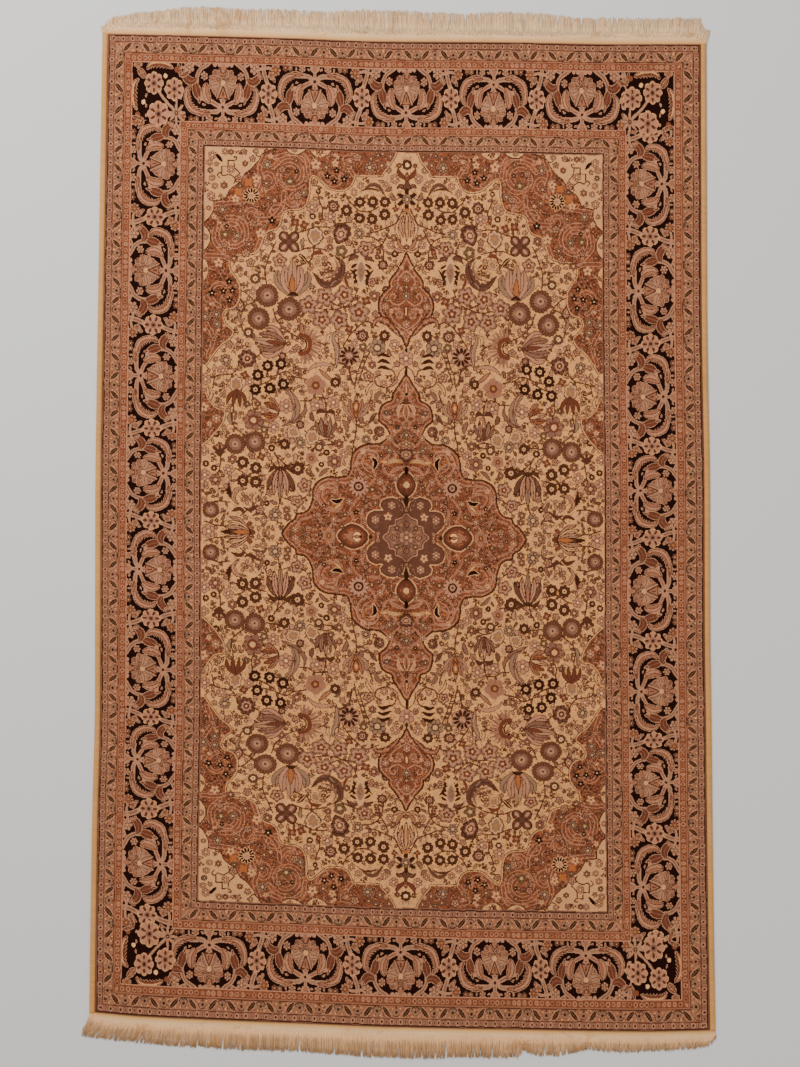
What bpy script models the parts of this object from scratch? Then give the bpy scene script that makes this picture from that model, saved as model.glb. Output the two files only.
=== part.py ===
"""A hand-knotted Persian rug with a medallion, lying flat.

Five pieces, as the rug is made on its loom: the knotted pile carpet, an overcast selvedge
down each long side, and a flat-woven cotton end with its warp fringe at the head and foot.
The underside lies on z = 0. +Y runs along the rug towards its head and +X across it.
The origin is under the middle of the medallion. All sizes are in metres.
"""
import random

import bmesh
import bpy
import numpy as np

PART_NAME = "persian_rug"
GAP = 0.0003                  # between pieces that meet

# Thicknesses
PILE_THICKNESS = 0.008        # foundation and clipped wool together
PILE_ROUNDING = 0.004         # how far in from the edge the clipped pile rounds over
SELVEDGE_WIDTH = 0.015
SELVEDGE_THICKNESS = 0.006
SELVEDGE_ROUNDING = 0.0055
KILIM_THICKNESS = 0.0025      # flat-woven cotton ends

# The crease where the rug was folded down its length
CREASE_X = 0.006
CREASE_DEPTH = 0.0010
CREASE_WIDTH = 0.012

# The pile's four edges, as uneven as the loom left them.
# Columns: place across the rug (x), where the pile ends there (y)
HEAD_LINE = ((-0.736, 1.250), (-0.500, 1.245), (-0.280, 1.239), (-0.060, 1.231),
             (0.240, 1.229), (0.540, 1.224), (0.743, 1.224))
FOOT_LINE = ((-0.769, -1.195), (-0.657, -1.205), (-0.470, -1.214), (-0.245, -1.223),
             (-0.020, -1.232), (0.280, -1.238), (0.617, -1.243), (0.766, -1.240))
# Columns: place along the rug (y), where the pile's side lies there (x)
LEFT_LINE = ((-1.195, -0.769), (-0.965, -0.766), (-0.715, -0.762), (-0.415, -0.755),
             (0.085, -0.754), (0.335, -0.751), (0.585, -0.747), (1.085, -0.739),
             (1.250, -0.736))
RIGHT_LINE = ((-1.240, 0.766), (-0.865, 0.760), (-0.415, 0.755), (-0.265, 0.753),
              (0.110, 0.752), (0.410, 0.747), (0.585, 0.745), (1.224, 0.743))

# The flat-woven ends. Columns: place across (x), depth of the weave from the pile
HEAD_WEAVE = ((-0.751, 0.010), (-0.736, 0.022), (-0.715, 0.028), (-0.680, 0.030),
              (0.720, 0.030), (0.743, 0.024), (0.758, 0.010))
FOOT_WEAVE = ((-0.785, 0.013), (-0.765, 0.026), (-0.735, 0.030),
              (0.755, 0.030), (0.772, 0.026), (0.782, 0.009))
# Columns: place across (x), how far the tips of the fringe reach there (y)
HEAD_TIPS = ((-0.750, 1.267), (-0.734, 1.285), (-0.720, 1.293), (-0.657, 1.304),
             (-0.595, 1.309), (-0.532, 1.316), (-0.470, 1.317), (-0.407, 1.312),
             (-0.282, 1.310), (-0.220, 1.305), (-0.095, 1.309), (0.092, 1.302),
             (0.155, 1.299), (0.217, 1.304), (0.342, 1.300), (0.467, 1.289),
             (0.592, 1.288), (0.717, 1.289), (0.742, 1.290), (0.752, 1.264),
             (0.767, 1.259))
FOOT_TIPS = ((-0.797, -1.255), (-0.765, -1.259), (-0.720, -1.264), (-0.657, -1.272),
             (-0.595, -1.277), (-0.532, -1.281), (-0.470, -1.285), (-0.377, -1.290),
             (-0.282, -1.292), (-0.220, -1.297), (-0.095, -1.306), (0.030, -1.310),
             (0.217, -1.308), (0.285, -1.308), (0.300, -1.293), (0.328, -1.302),
             (0.375, -1.305), (0.460, -1.291), (0.562, -1.295), (0.655, -1.290),
             (0.717, -1.286), (0.767, -1.278), (0.783, -1.258))
# Columns: place across (x), how far sideways a strand's tip leans from its root
HEAD_LEAN = ((-0.750, -0.004), (-0.620, 0.000), (0.620, 0.000), (0.700, 0.005),
             (0.760, 0.009))
FOOT_LEAN = ((-0.780, -0.019), (-0.700, -0.016), (-0.590, -0.010), (-0.470, 0.000),
             (0.700, 0.000), (0.760, 0.003))

# Fringe strands: 4-sided locks of warp, level on the floor
STRANDS_PER_END = 120
STRAND_GAP = 0.0034           # between neighbouring roots
# Columns: share of the strand's length, share of its root's width, thickness there
STRAND_SECTIONS = ((0.55, 0.90, 0.0022), (1.00, 0.45, 0.0014))
STRAND_UNEVEN = 0.002         # how far tips fall short of or past the line
STRAND_SWAY = 0.0008
STRAND_SHORTEST = 0.004

# Colours (linear) and finish of the three yarns
YARNS = {
    "wool_pile": {"color": (0.262, 0.114, 0.058), "roughness": 0.90},
    "wool_selvedge": {"color": (0.610, 0.352, 0.162), "roughness": 0.85},
    "cotton_warp": {"color": (0.610, 0.445, 0.305), "roughness": 0.88},
}


def clear_scene():
    for old in list(bpy.data.objects):
        bpy.data.objects.remove(old, do_unlink=True)


def yarn_material(name):
    """A Principled material in one yarn's colour."""
    yarn = YARNS[name]
    material = bpy.data.materials.new(name)
    material.use_nodes = True
    shader = material.node_tree.nodes["Principled BSDF"]
    shader.inputs["Base Color"].default_value = (*yarn["color"], 1.0)
    shader.inputs["Roughness"].default_value = yarn["roughness"]
    shader.inputs["Metallic"].default_value = 0.0
    return material


def read_line(rows, place):
    """A smooth curve through a table's rows, read at one place; level past its ends.

    It never swings past the rows, because its slope there is the harmonic mean of its runs'.
    """
    at, value = np.array(rows).T
    place = float(np.clip(place, at[0], at[-1]))
    run = np.diff(value) / np.diff(at)
    before, after = run[:-1], run[1:]
    turning = before * after <= 0
    mean = 2 * before * after / np.where(turning, 1.0, before + after)
    slope = np.concatenate(([run[0]], np.where(turning, 0.0, mean), [run[-1]]))
    k = min(int(np.searchsorted(at, place, side="right")) - 1, len(at) - 2)
    step = at[k + 1] - at[k]
    f = (place - at[k]) / step
    return float((2 * f ** 3 - 3 * f ** 2 + 1) * value[k]
                 + (f ** 3 - 2 * f ** 2 + f) * step * slope[k]
                 + (3 * f ** 2 - 2 * f ** 3) * value[k + 1]
                 + (f ** 3 - f ** 2) * step * slope[k + 1])


def side_point(line, share):
    """A point on a long side, share 0 at the head's corner and 1 at the foot's."""
    (foot_y, _), (head_y, _) = line[0], line[-1]
    y = head_y + (foot_y - head_y) * share
    return np.array((read_line(line, y), y))


def end_point(line, share):
    """A point on the head's or foot's edge, share 0 at the left corner."""
    (left_x, _), (right_x, _) = line[0], line[-1]
    x = left_x + (right_x - left_x) * share
    return np.array((x, read_line(line, x)))


def pile_point(across, along):
    """The rug's plan: a patch stretched between its four uneven edges."""
    head, foot = end_point(HEAD_LINE, across), end_point(FOOT_LINE, across)
    left, right = side_point(LEFT_LINE, along), side_point(RIGHT_LINE, along)
    corners = ((1 - along) * ((1 - across) * end_point(HEAD_LINE, 0)
                              + across * end_point(HEAD_LINE, 1))
               + along * ((1 - across) * end_point(FOOT_LINE, 0)
                          + across * end_point(FOOT_LINE, 1)))
    return (1 - along) * head + along * foot + (1 - across) * left + across * right - corners


def rounded_height(thickness, rounding, distance):
    """Height of a rounded edge, at a distance in from it."""
    short = max(rounding - distance, 0.0)
    return thickness - rounding + (rounding ** 2 - short ** 2) ** 0.5


def floor_slab(columns, rows, place, height):
    """A closed slab: a grid laid on the plan, extruded up to its height at each point."""
    bm = bmesh.new()
    column_of = bm.verts.layers.int.new("column")
    row_of = bm.verts.layers.int.new("row")
    bmesh.ops.create_grid(bm, x_segments=len(columns) - 1, y_segments=len(rows) - 1, size=0.5)
    for vert in bm.verts:
        vert[column_of] = round((vert.co.x + 0.5) * (len(columns) - 1))
        vert[row_of] = round((vert.co.y + 0.5) * (len(rows) - 1))
        x, y = place(columns[vert[column_of]], rows[vert[row_of]])
        vert.co = (x, y, 0.0)
    top = bmesh.ops.extrude_face_region(bm, geom=bm.faces[:])
    for vert in top["geom"]:
        if isinstance(vert, bmesh.types.BMVert):
            vert.co.z = height(columns[vert[column_of]], rows[vert[row_of]])
    bmesh.ops.recalc_face_normals(bm, faces=bm.faces[:])
    return bm


def finish_piece(bm, name, material, collection):
    mesh = bpy.data.meshes.new(name)
    bm.to_mesh(mesh)
    bm.free()
    mesh.materials.append(material)
    piece = bpy.data.objects.new(name, mesh)
    collection.objects.link(piece)
    return piece


def pile_stations():
    """The pile's width and length, and the shares of them where its plan is set out.

    Its neighbours use the same stations, so that edges which meet follow the same chords.
    """
    width = RIGHT_LINE[-1][1] - LEFT_LINE[-1][1]
    length = HEAD_LINE[0][1] - FOOT_LINE[0][1]
    rim = (0.0, 0.0015, PILE_ROUNDING)
    crease = (CREASE_X - HEAD_LINE[0][0]) / width
    across = [crease + step * CREASE_WIDTH / width for step in (-2.5, -1, 0, 1, 2.5)]
    across += [0.12, 0.24, 0.36, 0.64, 0.76, 0.88]
    across += [d / width for d in rim] + [1 - d / width for d in rim]
    along = list(np.linspace(0.05, 0.95, 19))
    along += [d / length for d in rim] + [1 - d / length for d in rim]
    return width, length, sorted(across), sorted(along)


def pile_carpet(material, collection):
    """The knotted carpet: clipped pile, rounded at its rim, with the old fold's soft crease."""
    width, length, columns, rows = pile_stations()

    def height(across, along):
        from_edge = min(across * width, (1 - across) * width,
                        along * length, (1 - along) * length)
        x = pile_point(across, along)[0]
        trough = CREASE_DEPTH * np.exp(-((x - CREASE_X) / CREASE_WIDTH) ** 2)
        return rounded_height(PILE_THICKNESS, PILE_ROUNDING, from_edge) - trough

    bm = floor_slab(columns, rows, pile_point, height)
    return finish_piece(bm, "pile_carpet", material, collection)


def selvedge(name, line, outwards, material, collection):
    """The overcast cord along one long side. outwards is -1 on the left, 1 on the right."""
    columns = [GAP + SELVEDGE_WIDTH * share for share in (0.0, 0.06, 0.2, 0.5, 0.8, 0.94, 1.0)]
    rows = pile_stations()[3]

    def place(out, along):
        return side_point(line, along) + np.array((outwards * out, 0.0))

    def height(out, along):
        from_edge = min(out - GAP, SELVEDGE_WIDTH + GAP - out)
        return rounded_height(SELVEDGE_THICKNESS, SELVEDGE_ROUNDING, max(from_edge, 0.0))

    bm = floor_slab(columns, rows, place, height)
    return finish_piece(bm, name, material, collection)


def draw_out(bm, face, centre, width, thickness):
    """Extrude one strand's end face, and set the new face's four corners."""
    new_face = bmesh.ops.extrude_discrete_faces(bm, faces=[face])["faces"][0]
    middle = new_face.calc_center_median()
    for vert in new_face.verts:
        side = 1 if vert.co.x > middle.x else -1
        level = thickness if vert.co.z > middle.z else 0.0
        vert.co = (centre[0] + side * width / 2, centre[1], level)
    return new_face


def fringed_end(name, line, weave, tips, lean, outwards, seed, material, collection):
    """The flat-woven strip past the pile and the warp strands that leave it."""
    rng = random.Random(seed)
    left = line[0][0] - SELVEDGE_WIDTH
    right = line[-1][0] + SELVEDGE_WIDTH
    pitch = (right - left) / STRANDS_PER_END
    stations = [left]
    for k in range(STRANDS_PER_END):
        start = left + k * pitch + STRAND_GAP / 2
        stations += [start, start + pitch - STRAND_GAP]
    stations.append(right)

    pile_edge = np.array([end_point(line, share) for share in pile_stations()[2]])

    def place(x, share):
        depth = GAP + (read_line(weave, x) - GAP) * share
        return x, np.interp(x, *pile_edge.T) + outwards * depth

    bm = floor_slab(stations, [0.0, 1.0], place, lambda x, share: KILIM_THICKNESS)
    root_of = {}
    for face in bm.faces:
        middle = face.calc_center_median()
        if outwards * face.normal.y > 0.5 and abs(face.normal.z) < 0.5:
            root_of[round((middle.x - left) / pitch - 0.5, 2)] = face
    for k in range(STRANDS_PER_END):
        face = root_of[float(k)]
        root = face.calc_center_median()
        tip_x = root.x + read_line(lean, root.x) + rng.uniform(-1, 1) * STRAND_SWAY
        tip_y = read_line(tips, tip_x) + rng.uniform(-1, 1) * STRAND_UNEVEN
        reach = max(outwards * (tip_y - root.y), STRAND_SHORTEST)
        for share, narrowing, thickness in STRAND_SECTIONS:
            centre = (root.x + (tip_x - root.x) * share, root.y + outwards * reach * share)
            face = draw_out(bm, face, centre, (pitch - STRAND_GAP) * narrowing, thickness)
    bmesh.ops.recalc_face_normals(bm, faces=bm.faces[:])
    return finish_piece(bm, name, material, collection)


def build_rug():
    clear_scene()
    collection = bpy.data.collections.new(PART_NAME)
    bpy.context.scene.collection.children.link(collection)
    wool = yarn_material("wool_pile")
    binding = yarn_material("wool_selvedge")
    cotton = yarn_material("cotton_warp")
    pile_carpet(wool, collection)
    selvedge("selvedge_left", LEFT_LINE, -1, binding, collection)
    selvedge("selvedge_right", RIGHT_LINE, 1, binding, collection)
    fringed_end("fringed_end_head", HEAD_LINE, HEAD_WEAVE, HEAD_TIPS, HEAD_LEAN, 1, 11,
                cotton, collection)
    fringed_end("fringed_end_foot", FOOT_LINE, FOOT_WEAVE, FOOT_TIPS, FOOT_LEAN, -1, 23,
                cotton, collection)


build_rug()
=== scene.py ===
"""A hand-knotted Persian rug with a medallion, lying on a studio floor, seen from above."""
import math
import random

import bmesh
import bpy
import mathutils
import numpy as np
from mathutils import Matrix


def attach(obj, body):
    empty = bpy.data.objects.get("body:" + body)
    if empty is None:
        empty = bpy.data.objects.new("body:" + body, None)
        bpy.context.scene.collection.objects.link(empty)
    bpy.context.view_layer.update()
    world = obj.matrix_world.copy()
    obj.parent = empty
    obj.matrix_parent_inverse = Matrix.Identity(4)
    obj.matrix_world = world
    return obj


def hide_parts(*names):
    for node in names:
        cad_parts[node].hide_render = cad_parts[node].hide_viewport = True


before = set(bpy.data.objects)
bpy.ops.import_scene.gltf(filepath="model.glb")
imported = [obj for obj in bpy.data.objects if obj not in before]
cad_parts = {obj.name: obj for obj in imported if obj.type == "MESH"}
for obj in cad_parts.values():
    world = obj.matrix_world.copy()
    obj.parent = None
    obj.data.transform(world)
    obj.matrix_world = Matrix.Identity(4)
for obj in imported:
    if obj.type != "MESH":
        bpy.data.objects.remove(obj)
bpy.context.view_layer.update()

# ---- The rug on its loom ----
# The plan of the knotted cloth between its four edges, as uneven as the loom left them.
# Every piece is set out on it: wool pile on a cotton foundation, its ends and its sides.

PILE_THICKNESS = 0.008        # foundation and clipped wool together
PILE_ROUNDING = 0.004         # how far in from the edge the clipped pile rounds over

# Columns: place across the rug (x), where the pile ends there (y)
HEAD_LINE = (
    (-0.736, 1.250), (-0.500, 1.245), (-0.280, 1.239), (-0.060, 1.231), (0.240, 1.229), (0.540, 1.224),
    (0.743, 1.224))
FOOT_LINE = (
    (-0.769, -1.195), (-0.657, -1.205), (-0.470, -1.214), (-0.245, -1.223), (-0.020, -1.232),
    (0.280, -1.238), (0.617, -1.243), (0.766, -1.240))
# Columns: place along the rug (y), where the pile's side lies there (x)
LEFT_LINE = (
    (-1.195, -0.769), (-0.965, -0.766), (-0.715, -0.762), (-0.415, -0.755), (0.085, -0.754),
    (0.335, -0.751), (0.585, -0.747), (1.085, -0.739), (1.250, -0.736))
RIGHT_LINE = (
    (-1.240, 0.766), (-0.865, 0.760), (-0.415, 0.755), (-0.265, 0.753), (0.110, 0.752), (0.410, 0.747),
    (0.585, 0.745), (1.224, 0.743))


def read_line(rows, place):
    """A smooth curve through a table's rows, read at many places; level past its ends."""
    at, value = np.array(rows).T
    place = np.clip(place, at[0], at[-1])
    run = np.diff(value) / np.diff(at)
    before, after = run[:-1], run[1:]
    turning = before * after <= 0
    mean = 2 * before * after / np.where(turning, 1.0, before + after)
    slope = np.concatenate(([run[0]], np.where(turning, 0.0, mean), [run[-1]]))
    k = np.clip(np.searchsorted(at, place, side="right") - 1, 0, len(at) - 2)
    step = at[k + 1] - at[k]
    f = (place - at[k]) / step
    return ((2 * f ** 3 - 3 * f ** 2 + 1) * value[k] + (f ** 3 - 2 * f ** 2 + f) * step * slope[k]
            + (3 * f ** 2 - 2 * f ** 3) * value[k + 1] + (f ** 3 - f ** 2) * step * slope[k + 1])


def side_point(line, share):
    """Points on a long side, share 0 at the head's corner and 1 at the foot's."""
    y = line[-1][0] + (line[0][0] - line[-1][0]) * np.asarray(share)
    return np.stack((read_line(line, y), y), -1)


def end_point(line, share):
    """Points on the head's or foot's edge, share 0 at the left corner."""
    x = line[0][0] + (line[-1][0] - line[0][0]) * np.asarray(share)
    return np.stack((x, read_line(line, x)), -1)


def pile_point(across, along):
    """The rug's plan: a patch stretched between its four uneven edges."""
    head, foot = end_point(HEAD_LINE, across), end_point(FOOT_LINE, across)
    left, right = side_point(LEFT_LINE, along), side_point(RIGHT_LINE, along)
    across, along = across[..., None], along[..., None]
    corners = ((1 - along) * ((1 - across) * end_point(HEAD_LINE, 0)
                              + across * end_point(HEAD_LINE, 1))
               + along * ((1 - across) * end_point(FOOT_LINE, 0)
                          + across * end_point(FOOT_LINE, 1)))
    return (1 - along) * head + along * foot + (1 - across) * left + across * right - corners


# ---- The weaver's chart ----
# The design that the knots are tied from, painted in dyed yarns on squared sheets.
# One sheet holds a quarter of the field, and others a repeat of each border stripe.

SAMPLES = 4                   # painted samples along a square
# Base colours of the dyed wools
YARNS = {
    "bare": (0, 0, 0),
    "black": (0.013, 0.0025, 0.0012),
    "coffee": (0.042, 0.012, 0.0045),
    "brown": (0.083, 0.026, 0.012),
    "walnut": (0.14, 0.057, 0.028),
    "brick": (0.14, 0.036, 0.016),
    "rust": (0.207, 0.058, 0.0245),
    "orange": (0.38, 0.105, 0.028),
    "salmon": (0.32, 0.122, 0.062),
    "pink": (0.44, 0.183, 0.097),
    "blush": (0.40, 0.18, 0.095),
    "rose": (0.215, 0.090, 0.052),
    "cream": (0.62, 0.285, 0.115),
    "ivory": (0.84, 0.41, 0.16),
    "straw": (0.67, 0.30, 0.102),
    "gold": (0.38, 0.16, 0.043),
    "olive": (0.14, 0.072, 0.030),
    "grey": (0.27, 0.136, 0.074),
    "slate": (0.076, 0.035, 0.019),
    "mauve": (0.116, 0.041, 0.022),
    "russet": (0.138, 0.047, 0.023),
}
DYES = list(YARNS)
EDGE = 0.8                    # width of an outline
LINE = 0.6                    # width of the dark thread inside a leaf's outline
FAN_HEART = 0.52              # how far up a palmette its petals spread from
# Kinds of flower. Columns: petals, outline, seams, then layers of (share of its size, scallop, yarn)
FLOWERS = {
    "ink": (8, "coffee", "coffee", ((1, 0.20, "brown"), (0.52, 0, "coffee"), (0.40, 0, "cream"),
        (0.14, 0, "brown"))),
    "dark": (8, "black", "black", ((1, 0.24, "coffee"), (0.44, 0, "cream"), (0.16, 0, "brown"))),
    "great": (18, "brown", "brown", ((1, 0.08, "russet"), (0.66, 0.12, "rose"),
        (0.34, 0, "blush"), (0.12, 0, "brown"))),
    "ring": (8, "brown", "coffee", ((1, 0.12, "walnut"), (0.62, 0, "coffee"),
        (0.50, 0, "ivory"), (0.22, 0, "rose"))),
    "rust": (6, "brown", "brown", ((1, 0.30, "rose"), (0.55, 0.25, "brick"), (0.28, 0, "cream"))),
    "pale": (6, "walnut", "walnut", ((1, 0.22, "pink"), (0.48, 0.20, "rose"), (0.24, 0, "ivory"))),
    "mauve": (8, "coffee", "coffee", ((1, 0.22, "mauve"), (0.58, 0.15, "pink"),
        (0.34, 0, "brown"), (0.14, 0, "cream"))),
    "grey": (8, "slate", "slate", ((1, 0.25, "grey"), (0.50, 0, "slate"), (0.32, 0, "cream"))),
    "star": (5, "pink", None, ((1, 0.55, "cream"), (0.30, 0, "rust"))),
    "inkstar": (5, "slate", None, ((1, 0.55, "black"), (0.24, 0, "ivory"))),
    "rosette": (8, "cream", "salmon", ((1, 0.16, "pink"), (0.30, 0, "rose"), (0.15, 0, "coffee"))),
    "bloom": (6, "pink", "walnut", ((1, 0.30, "blush"), (0.40, 0, "rose"), (0.2, 0, "cream"))),
    "peach": (5, "blush", "rose", ((1, 0.25, "salmon"), (0.40, 0, "brick"), (0.18, 0, "gold"))),
    "heart": (4, "brown", None, ((1, 0.45, "brick"), (0.40, 0.2, "salmon"))),
    "gilt": (8, "blush", "brown", ((1, 0.25, "salmon"), (0.55, 0.2, "rust"), (0.25, 0, "gold"))),
    "leafy": (5, "brown", "brown", ((1, 0.38, "rose"), (0.80, 0.38, "blush"), (0.48, 0.34, "brick"),
        (0.16, 0, "cream"))),
    "green": (5, "slate", "brown", ((1, 0.35, "olive"), (0.36, 0, "cream"))),
}


def curve(points, closed=False):
    """A smooth line through a few points, about a square a step. A doubled point is a corner."""
    p = np.array(points, float)
    if closed:
        p = np.concatenate((p[-1:], p, p[:2]))
    else:
        p = np.concatenate((2 * p[:1] - p[1:2], p, 2 * p[-1:] - p[-2:-1]))
    line = [p[1]]
    for a, b, c, d in zip(p[:-3], p[1:-2], p[2:-1], p[3:]):
        steps = max(2, math.ceil(math.hypot(*(c - b)) / 1.2))
        if not (c - b).any():
            continue
        for k in range(1, steps + 1):
            t = k / steps
            line.append(((2 * b) + (c - a) * t + (2 * a - 5 * b + 4 * c - d) * t ** 2
                         + (3 * b - a - 3 * c + d) * t ** 3) / 2)
    return np.array(line)


class Chart:
    """A squared sheet. x counts squares across and y counts them down from the head.

    copies says how a shape repeats on the sheet: (turn, shift) of x and of y for each copy.
    """

    def __init__(self, left, right, top, low, ground, copies=((1, 0, 1, 0),)):
        self.x = np.arange(left, right, 1 / SAMPLES) + 0.5 / SAMPLES
        self.y = np.arange(top, low, 1 / SAMPLES) + 0.5 / SAMPLES
        self.dye = np.full((len(self.y), len(self.x)), DYES.index(ground), np.uint8)
        self.free = np.ones(self.dye.shape, bool)
        self.copies = copies

    def near(self, x, y, reach):
        """Each copy's samples within reach of a point, with their places about it."""
        for turn_x, shift_x, turn_y, shift_y in self.copies:
            middle_x, middle_y = turn_x * (x - shift_x), turn_y * (y - shift_y)
            c = slice(*np.searchsorted(self.x, (middle_x - reach, middle_x + reach)))
            r = slice(*np.searchsorted(self.y, (middle_y - reach, middle_y + reach)))
            if c.start < c.stop and r.start < r.stop:
                yield (r, c), *np.meshgrid(turn_x * self.x[c] + shift_x - x,
                                           turn_y * self.y[r] + shift_y - y)

    def paint(self, where, mask, yarn, on=None):
        sheet = self.dye[where]
        mask = mask & self.free[where]
        if on is not None:
            mask = mask & np.isin(sheet, [DYES.index(name) for name in on.split()])
        sheet[mask] = DYES.index(yarn)

    def disc(self, x, y, size, yarn, wide=1.0):
        for where, a, b in self.near(x, y, size * max(1.0, wide)):
            self.paint(where, np.hypot(a / wide, b) < size, yarn)

    def rings(self, x, y, *rings):
        """Discs one inside another. Columns: size, yarn."""
        for size, yarn in rings:
            self.disc(x, y, size, yarn)

    def flower(self, x, y, size, kind, turn=0.0):
        """A rosette: its outline, its petals with the seams between them, and its heart."""
        count, edge, seam, layers = FLOWERS[kind]
        for where, a, b in self.near(x, y, size):
            away, angle = np.hypot(a, b), np.arctan2(a, -b) - math.radians(turn)
            wave = np.abs(np.cos(count / 2 * angle))
            notch = 1 - wave
            self.paint(where, away < size * (1 - layers[0][1] * notch), edge)
            inner = size - EDGE
            for number, (share, scallop, yarn) in enumerate(layers):
                self.paint(where, away < inner * share * (1 - scallop * notch), yarn)
                if seam and number == 0:
                    self.paint(where, (away < inner * 0.95) & (away * wave * 2 / count < 0.42), seam)

    def petals(self, x, y, start, end, width, count, yarn, turn=0.0):
        """Separate petals set round a point, from one radius to another."""
        middle, half = (start + end) / 2, (end - start) / 2
        for where, a, b in self.near(x, y, end):
            away, angle = np.hypot(a, b), np.arctan2(a, -b) - math.radians(turn)
            angle = (angle + math.pi / count) % (2 * math.pi / count) - math.pi / count
            out, off = away * np.cos(angle) - middle, away * np.sin(angle)
            self.paint(where, np.hypot(out / half, off / (width / 2)) < 1, yarn)

    def beside(self, starts, ends, reach):
        """The samples within reach of each short straight run, with their distances from it."""
        for (x0, y0), (x1, y1) in zip(starts, ends):
            dx, dy = (x1 - x0) / 2, (y1 - y0) / 2
            half = max(math.hypot(dx, dy), 1e-6)
            for where, a, b in self.near(x0 + dx, y0 + dy, half + reach):
                t = np.clip((a * dx + b * dy) / half ** 2, -1, 1)
                yield where, np.hypot(a - t * dx, b - t * dy)

    def vine(self, points, width, yarn, on=None):
        """A line of even width through a few points."""
        line = curve(points)
        for where, away in self.beside(line[:-1], line[1:], width):
            self.paint(where, away < width / 2, yarn, on)

    def leaf(self, points, width, edge, body, rib=None, teeth=0, other=None, blunt=0.75, line=None):
        """A leaf along a curve. line is a thread inside its edge, other the yarn of its half on
        the curve's right, and teeth the saw cuts in that half."""
        spine = curve(points)
        middle = spine.mean(0)
        reach = np.abs(spine - middle).max() + width / 2 + 1
        run = np.concatenate(([0], np.cumsum(np.hypot(*np.diff(spine, axis=0).T))))
        for where, a, b in self.near(*middle, reach):
            away, share, side = np.full(a.shape, 99.0), np.zeros(a.shape), np.zeros(a.shape)
            for k in range(len(spine) - 1):
                x0, y0 = spine[k] - middle
                dx, dy = spine[k + 1] - spine[k]
                t = np.clip(((a - x0) * dx + (b - y0) * dy) / (dx * dx + dy * dy), 0, 1)
                off_x, off_y = a - x0 - t * dx, b - y0 - t * dy
                off = np.hypot(off_x, off_y)
                nearer = off < away
                away[nearer] = off[nearer]
                share[nearer] = ((run[k] + t * (run[k + 1] - run[k])) / run[-1])[nearer]
                side[nearer] = (dx * off_y - dy * off_x)[nearer]
            half = width / 2 * np.sin(np.pi * share) ** blunt
            if teeth:
                half = half * (1 - 0.5 * (share * teeth % 1.0) * (side > 0))
            if edge:
                self.paint(where, away < half, edge)
                half = half - EDGE
            if line:
                self.paint(where, away < half, line)
                half = half - LINE
            self.paint(where, away < half, body)
            if other:
                self.paint(where, (away < half) & (side > 0), other)
            if rib:
                self.paint(where, (away < 0.35) & (away < half), rib)

    def flowers(self, *rows):
        """Rosettes one after another. Columns: x, y, size, kind."""
        for row in rows:
            self.flower(*row)

    def vines(self, *rows):
        """Vines one after another. Columns: points, width, yarn, and the grounds they keep to."""
        for row in rows:
            self.vine(*row)

    def leaves(self, *rows):
        """Leaves one after another. Columns: points, width, edge, body, rib, teeth."""
        for row in rows:
            self.leaf(*row)

    def area(self, points, *layers):
        """A smooth outline, filled in layers: (depth in from the edge, yarn)."""
        line = curve(points, closed=True)
        ends = np.roll(line, -1, 0)
        inside = np.zeros(self.dye.shape, bool)
        away = np.full(self.dye.shape, np.inf)
        for (x0, y0), (x1, y1) in zip(line, ends):
            r = slice(*np.searchsorted(self.y, sorted((y0, y1))))
            if r.start < r.stop:
                inside[r] ^= self.x < (x0 + (self.y[r] - y0) * (x1 - x0) / (y1 - y0))[:, None]
        for where, off in self.beside(line, ends, max(abs(depth) for depth, _ in layers) + 1):
            away[where] = np.minimum(away[where], off)
        depth_in = np.where(inside, away, -away)
        for depth, yarn in layers:
            self.dye[depth_in > depth] = DYES.index(yarn)

    def palmette(self, base, tip, width, layers, lobes=7):
        """A fan seen from the side, pointed at its base. layers: (share, scallop, yarn)."""
        base, tip = np.array(base, float), np.array(tip, float)
        up = tip - base
        tall = math.hypot(*up)
        up = up / tall
        heart = base + up * tall * FAN_HEART
        for where, a, b in self.near(*heart, max(tall, width)):
            rise, off = a * up[0] + b * up[1], np.abs(a * up[1] - b * up[0]) / (width / 2)
            rise = np.where(rise > 0, rise / (1 - FAN_HEART), rise / FAN_HEART) / tall
            power = np.where(rise > 0, 2.0, 1.35)
            away = (off ** power + np.abs(rise) ** power) ** (1 / power)
            notch = 1 - np.abs(np.cos(lobes / 2 * np.arctan2(off, rise)))
            for share, scallop, yarn in layers:
                self.paint(where, away < share * (1 - scallop * notch * (rise > -0.4)), yarn)


# The guard stripes: three narrow bands on either side of the main border. x runs along them
# and y away from the main border, over four repeats of leaves slanting left and right.
GUARD_REPEAT = 152
GUARD_DEPTH = 25.6
guard = Chart(0, GUARD_REPEAT, 0, GUARD_DEPTH, "rust",
              copies=((1, 0, 1, 0), (1, GUARD_REPEAT, 1, 0), (1, -GUARD_REPEAT, 1, 0)))
for start, end, yarn in ((0, 1.1, "pink"), (7.1, 7.9, "salmon"), (7.9, 8.7, "brown"),
                         (8.7, 17.9, "salmon"), (17.9, 18.8, "brown"), (18.8, 23.6, "rose"),
                         (23.6, 24.6, "coffee"), (24.6, GUARD_DEPTH, "rose")):
    guard.dye[(guard.y > start) & (guard.y < end)] = DYES.index(yarn)
BEADS, BEAD_ROW = 27, 4.1     # how many, and their row's y, next to the main border
RINGS, RING_ROW = 16, 21.2    # the same, next to the field or the selvedge
PAIRS = 4                     # of slanting leaves, on the broad band between the rows
beader = random.Random(5)
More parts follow.
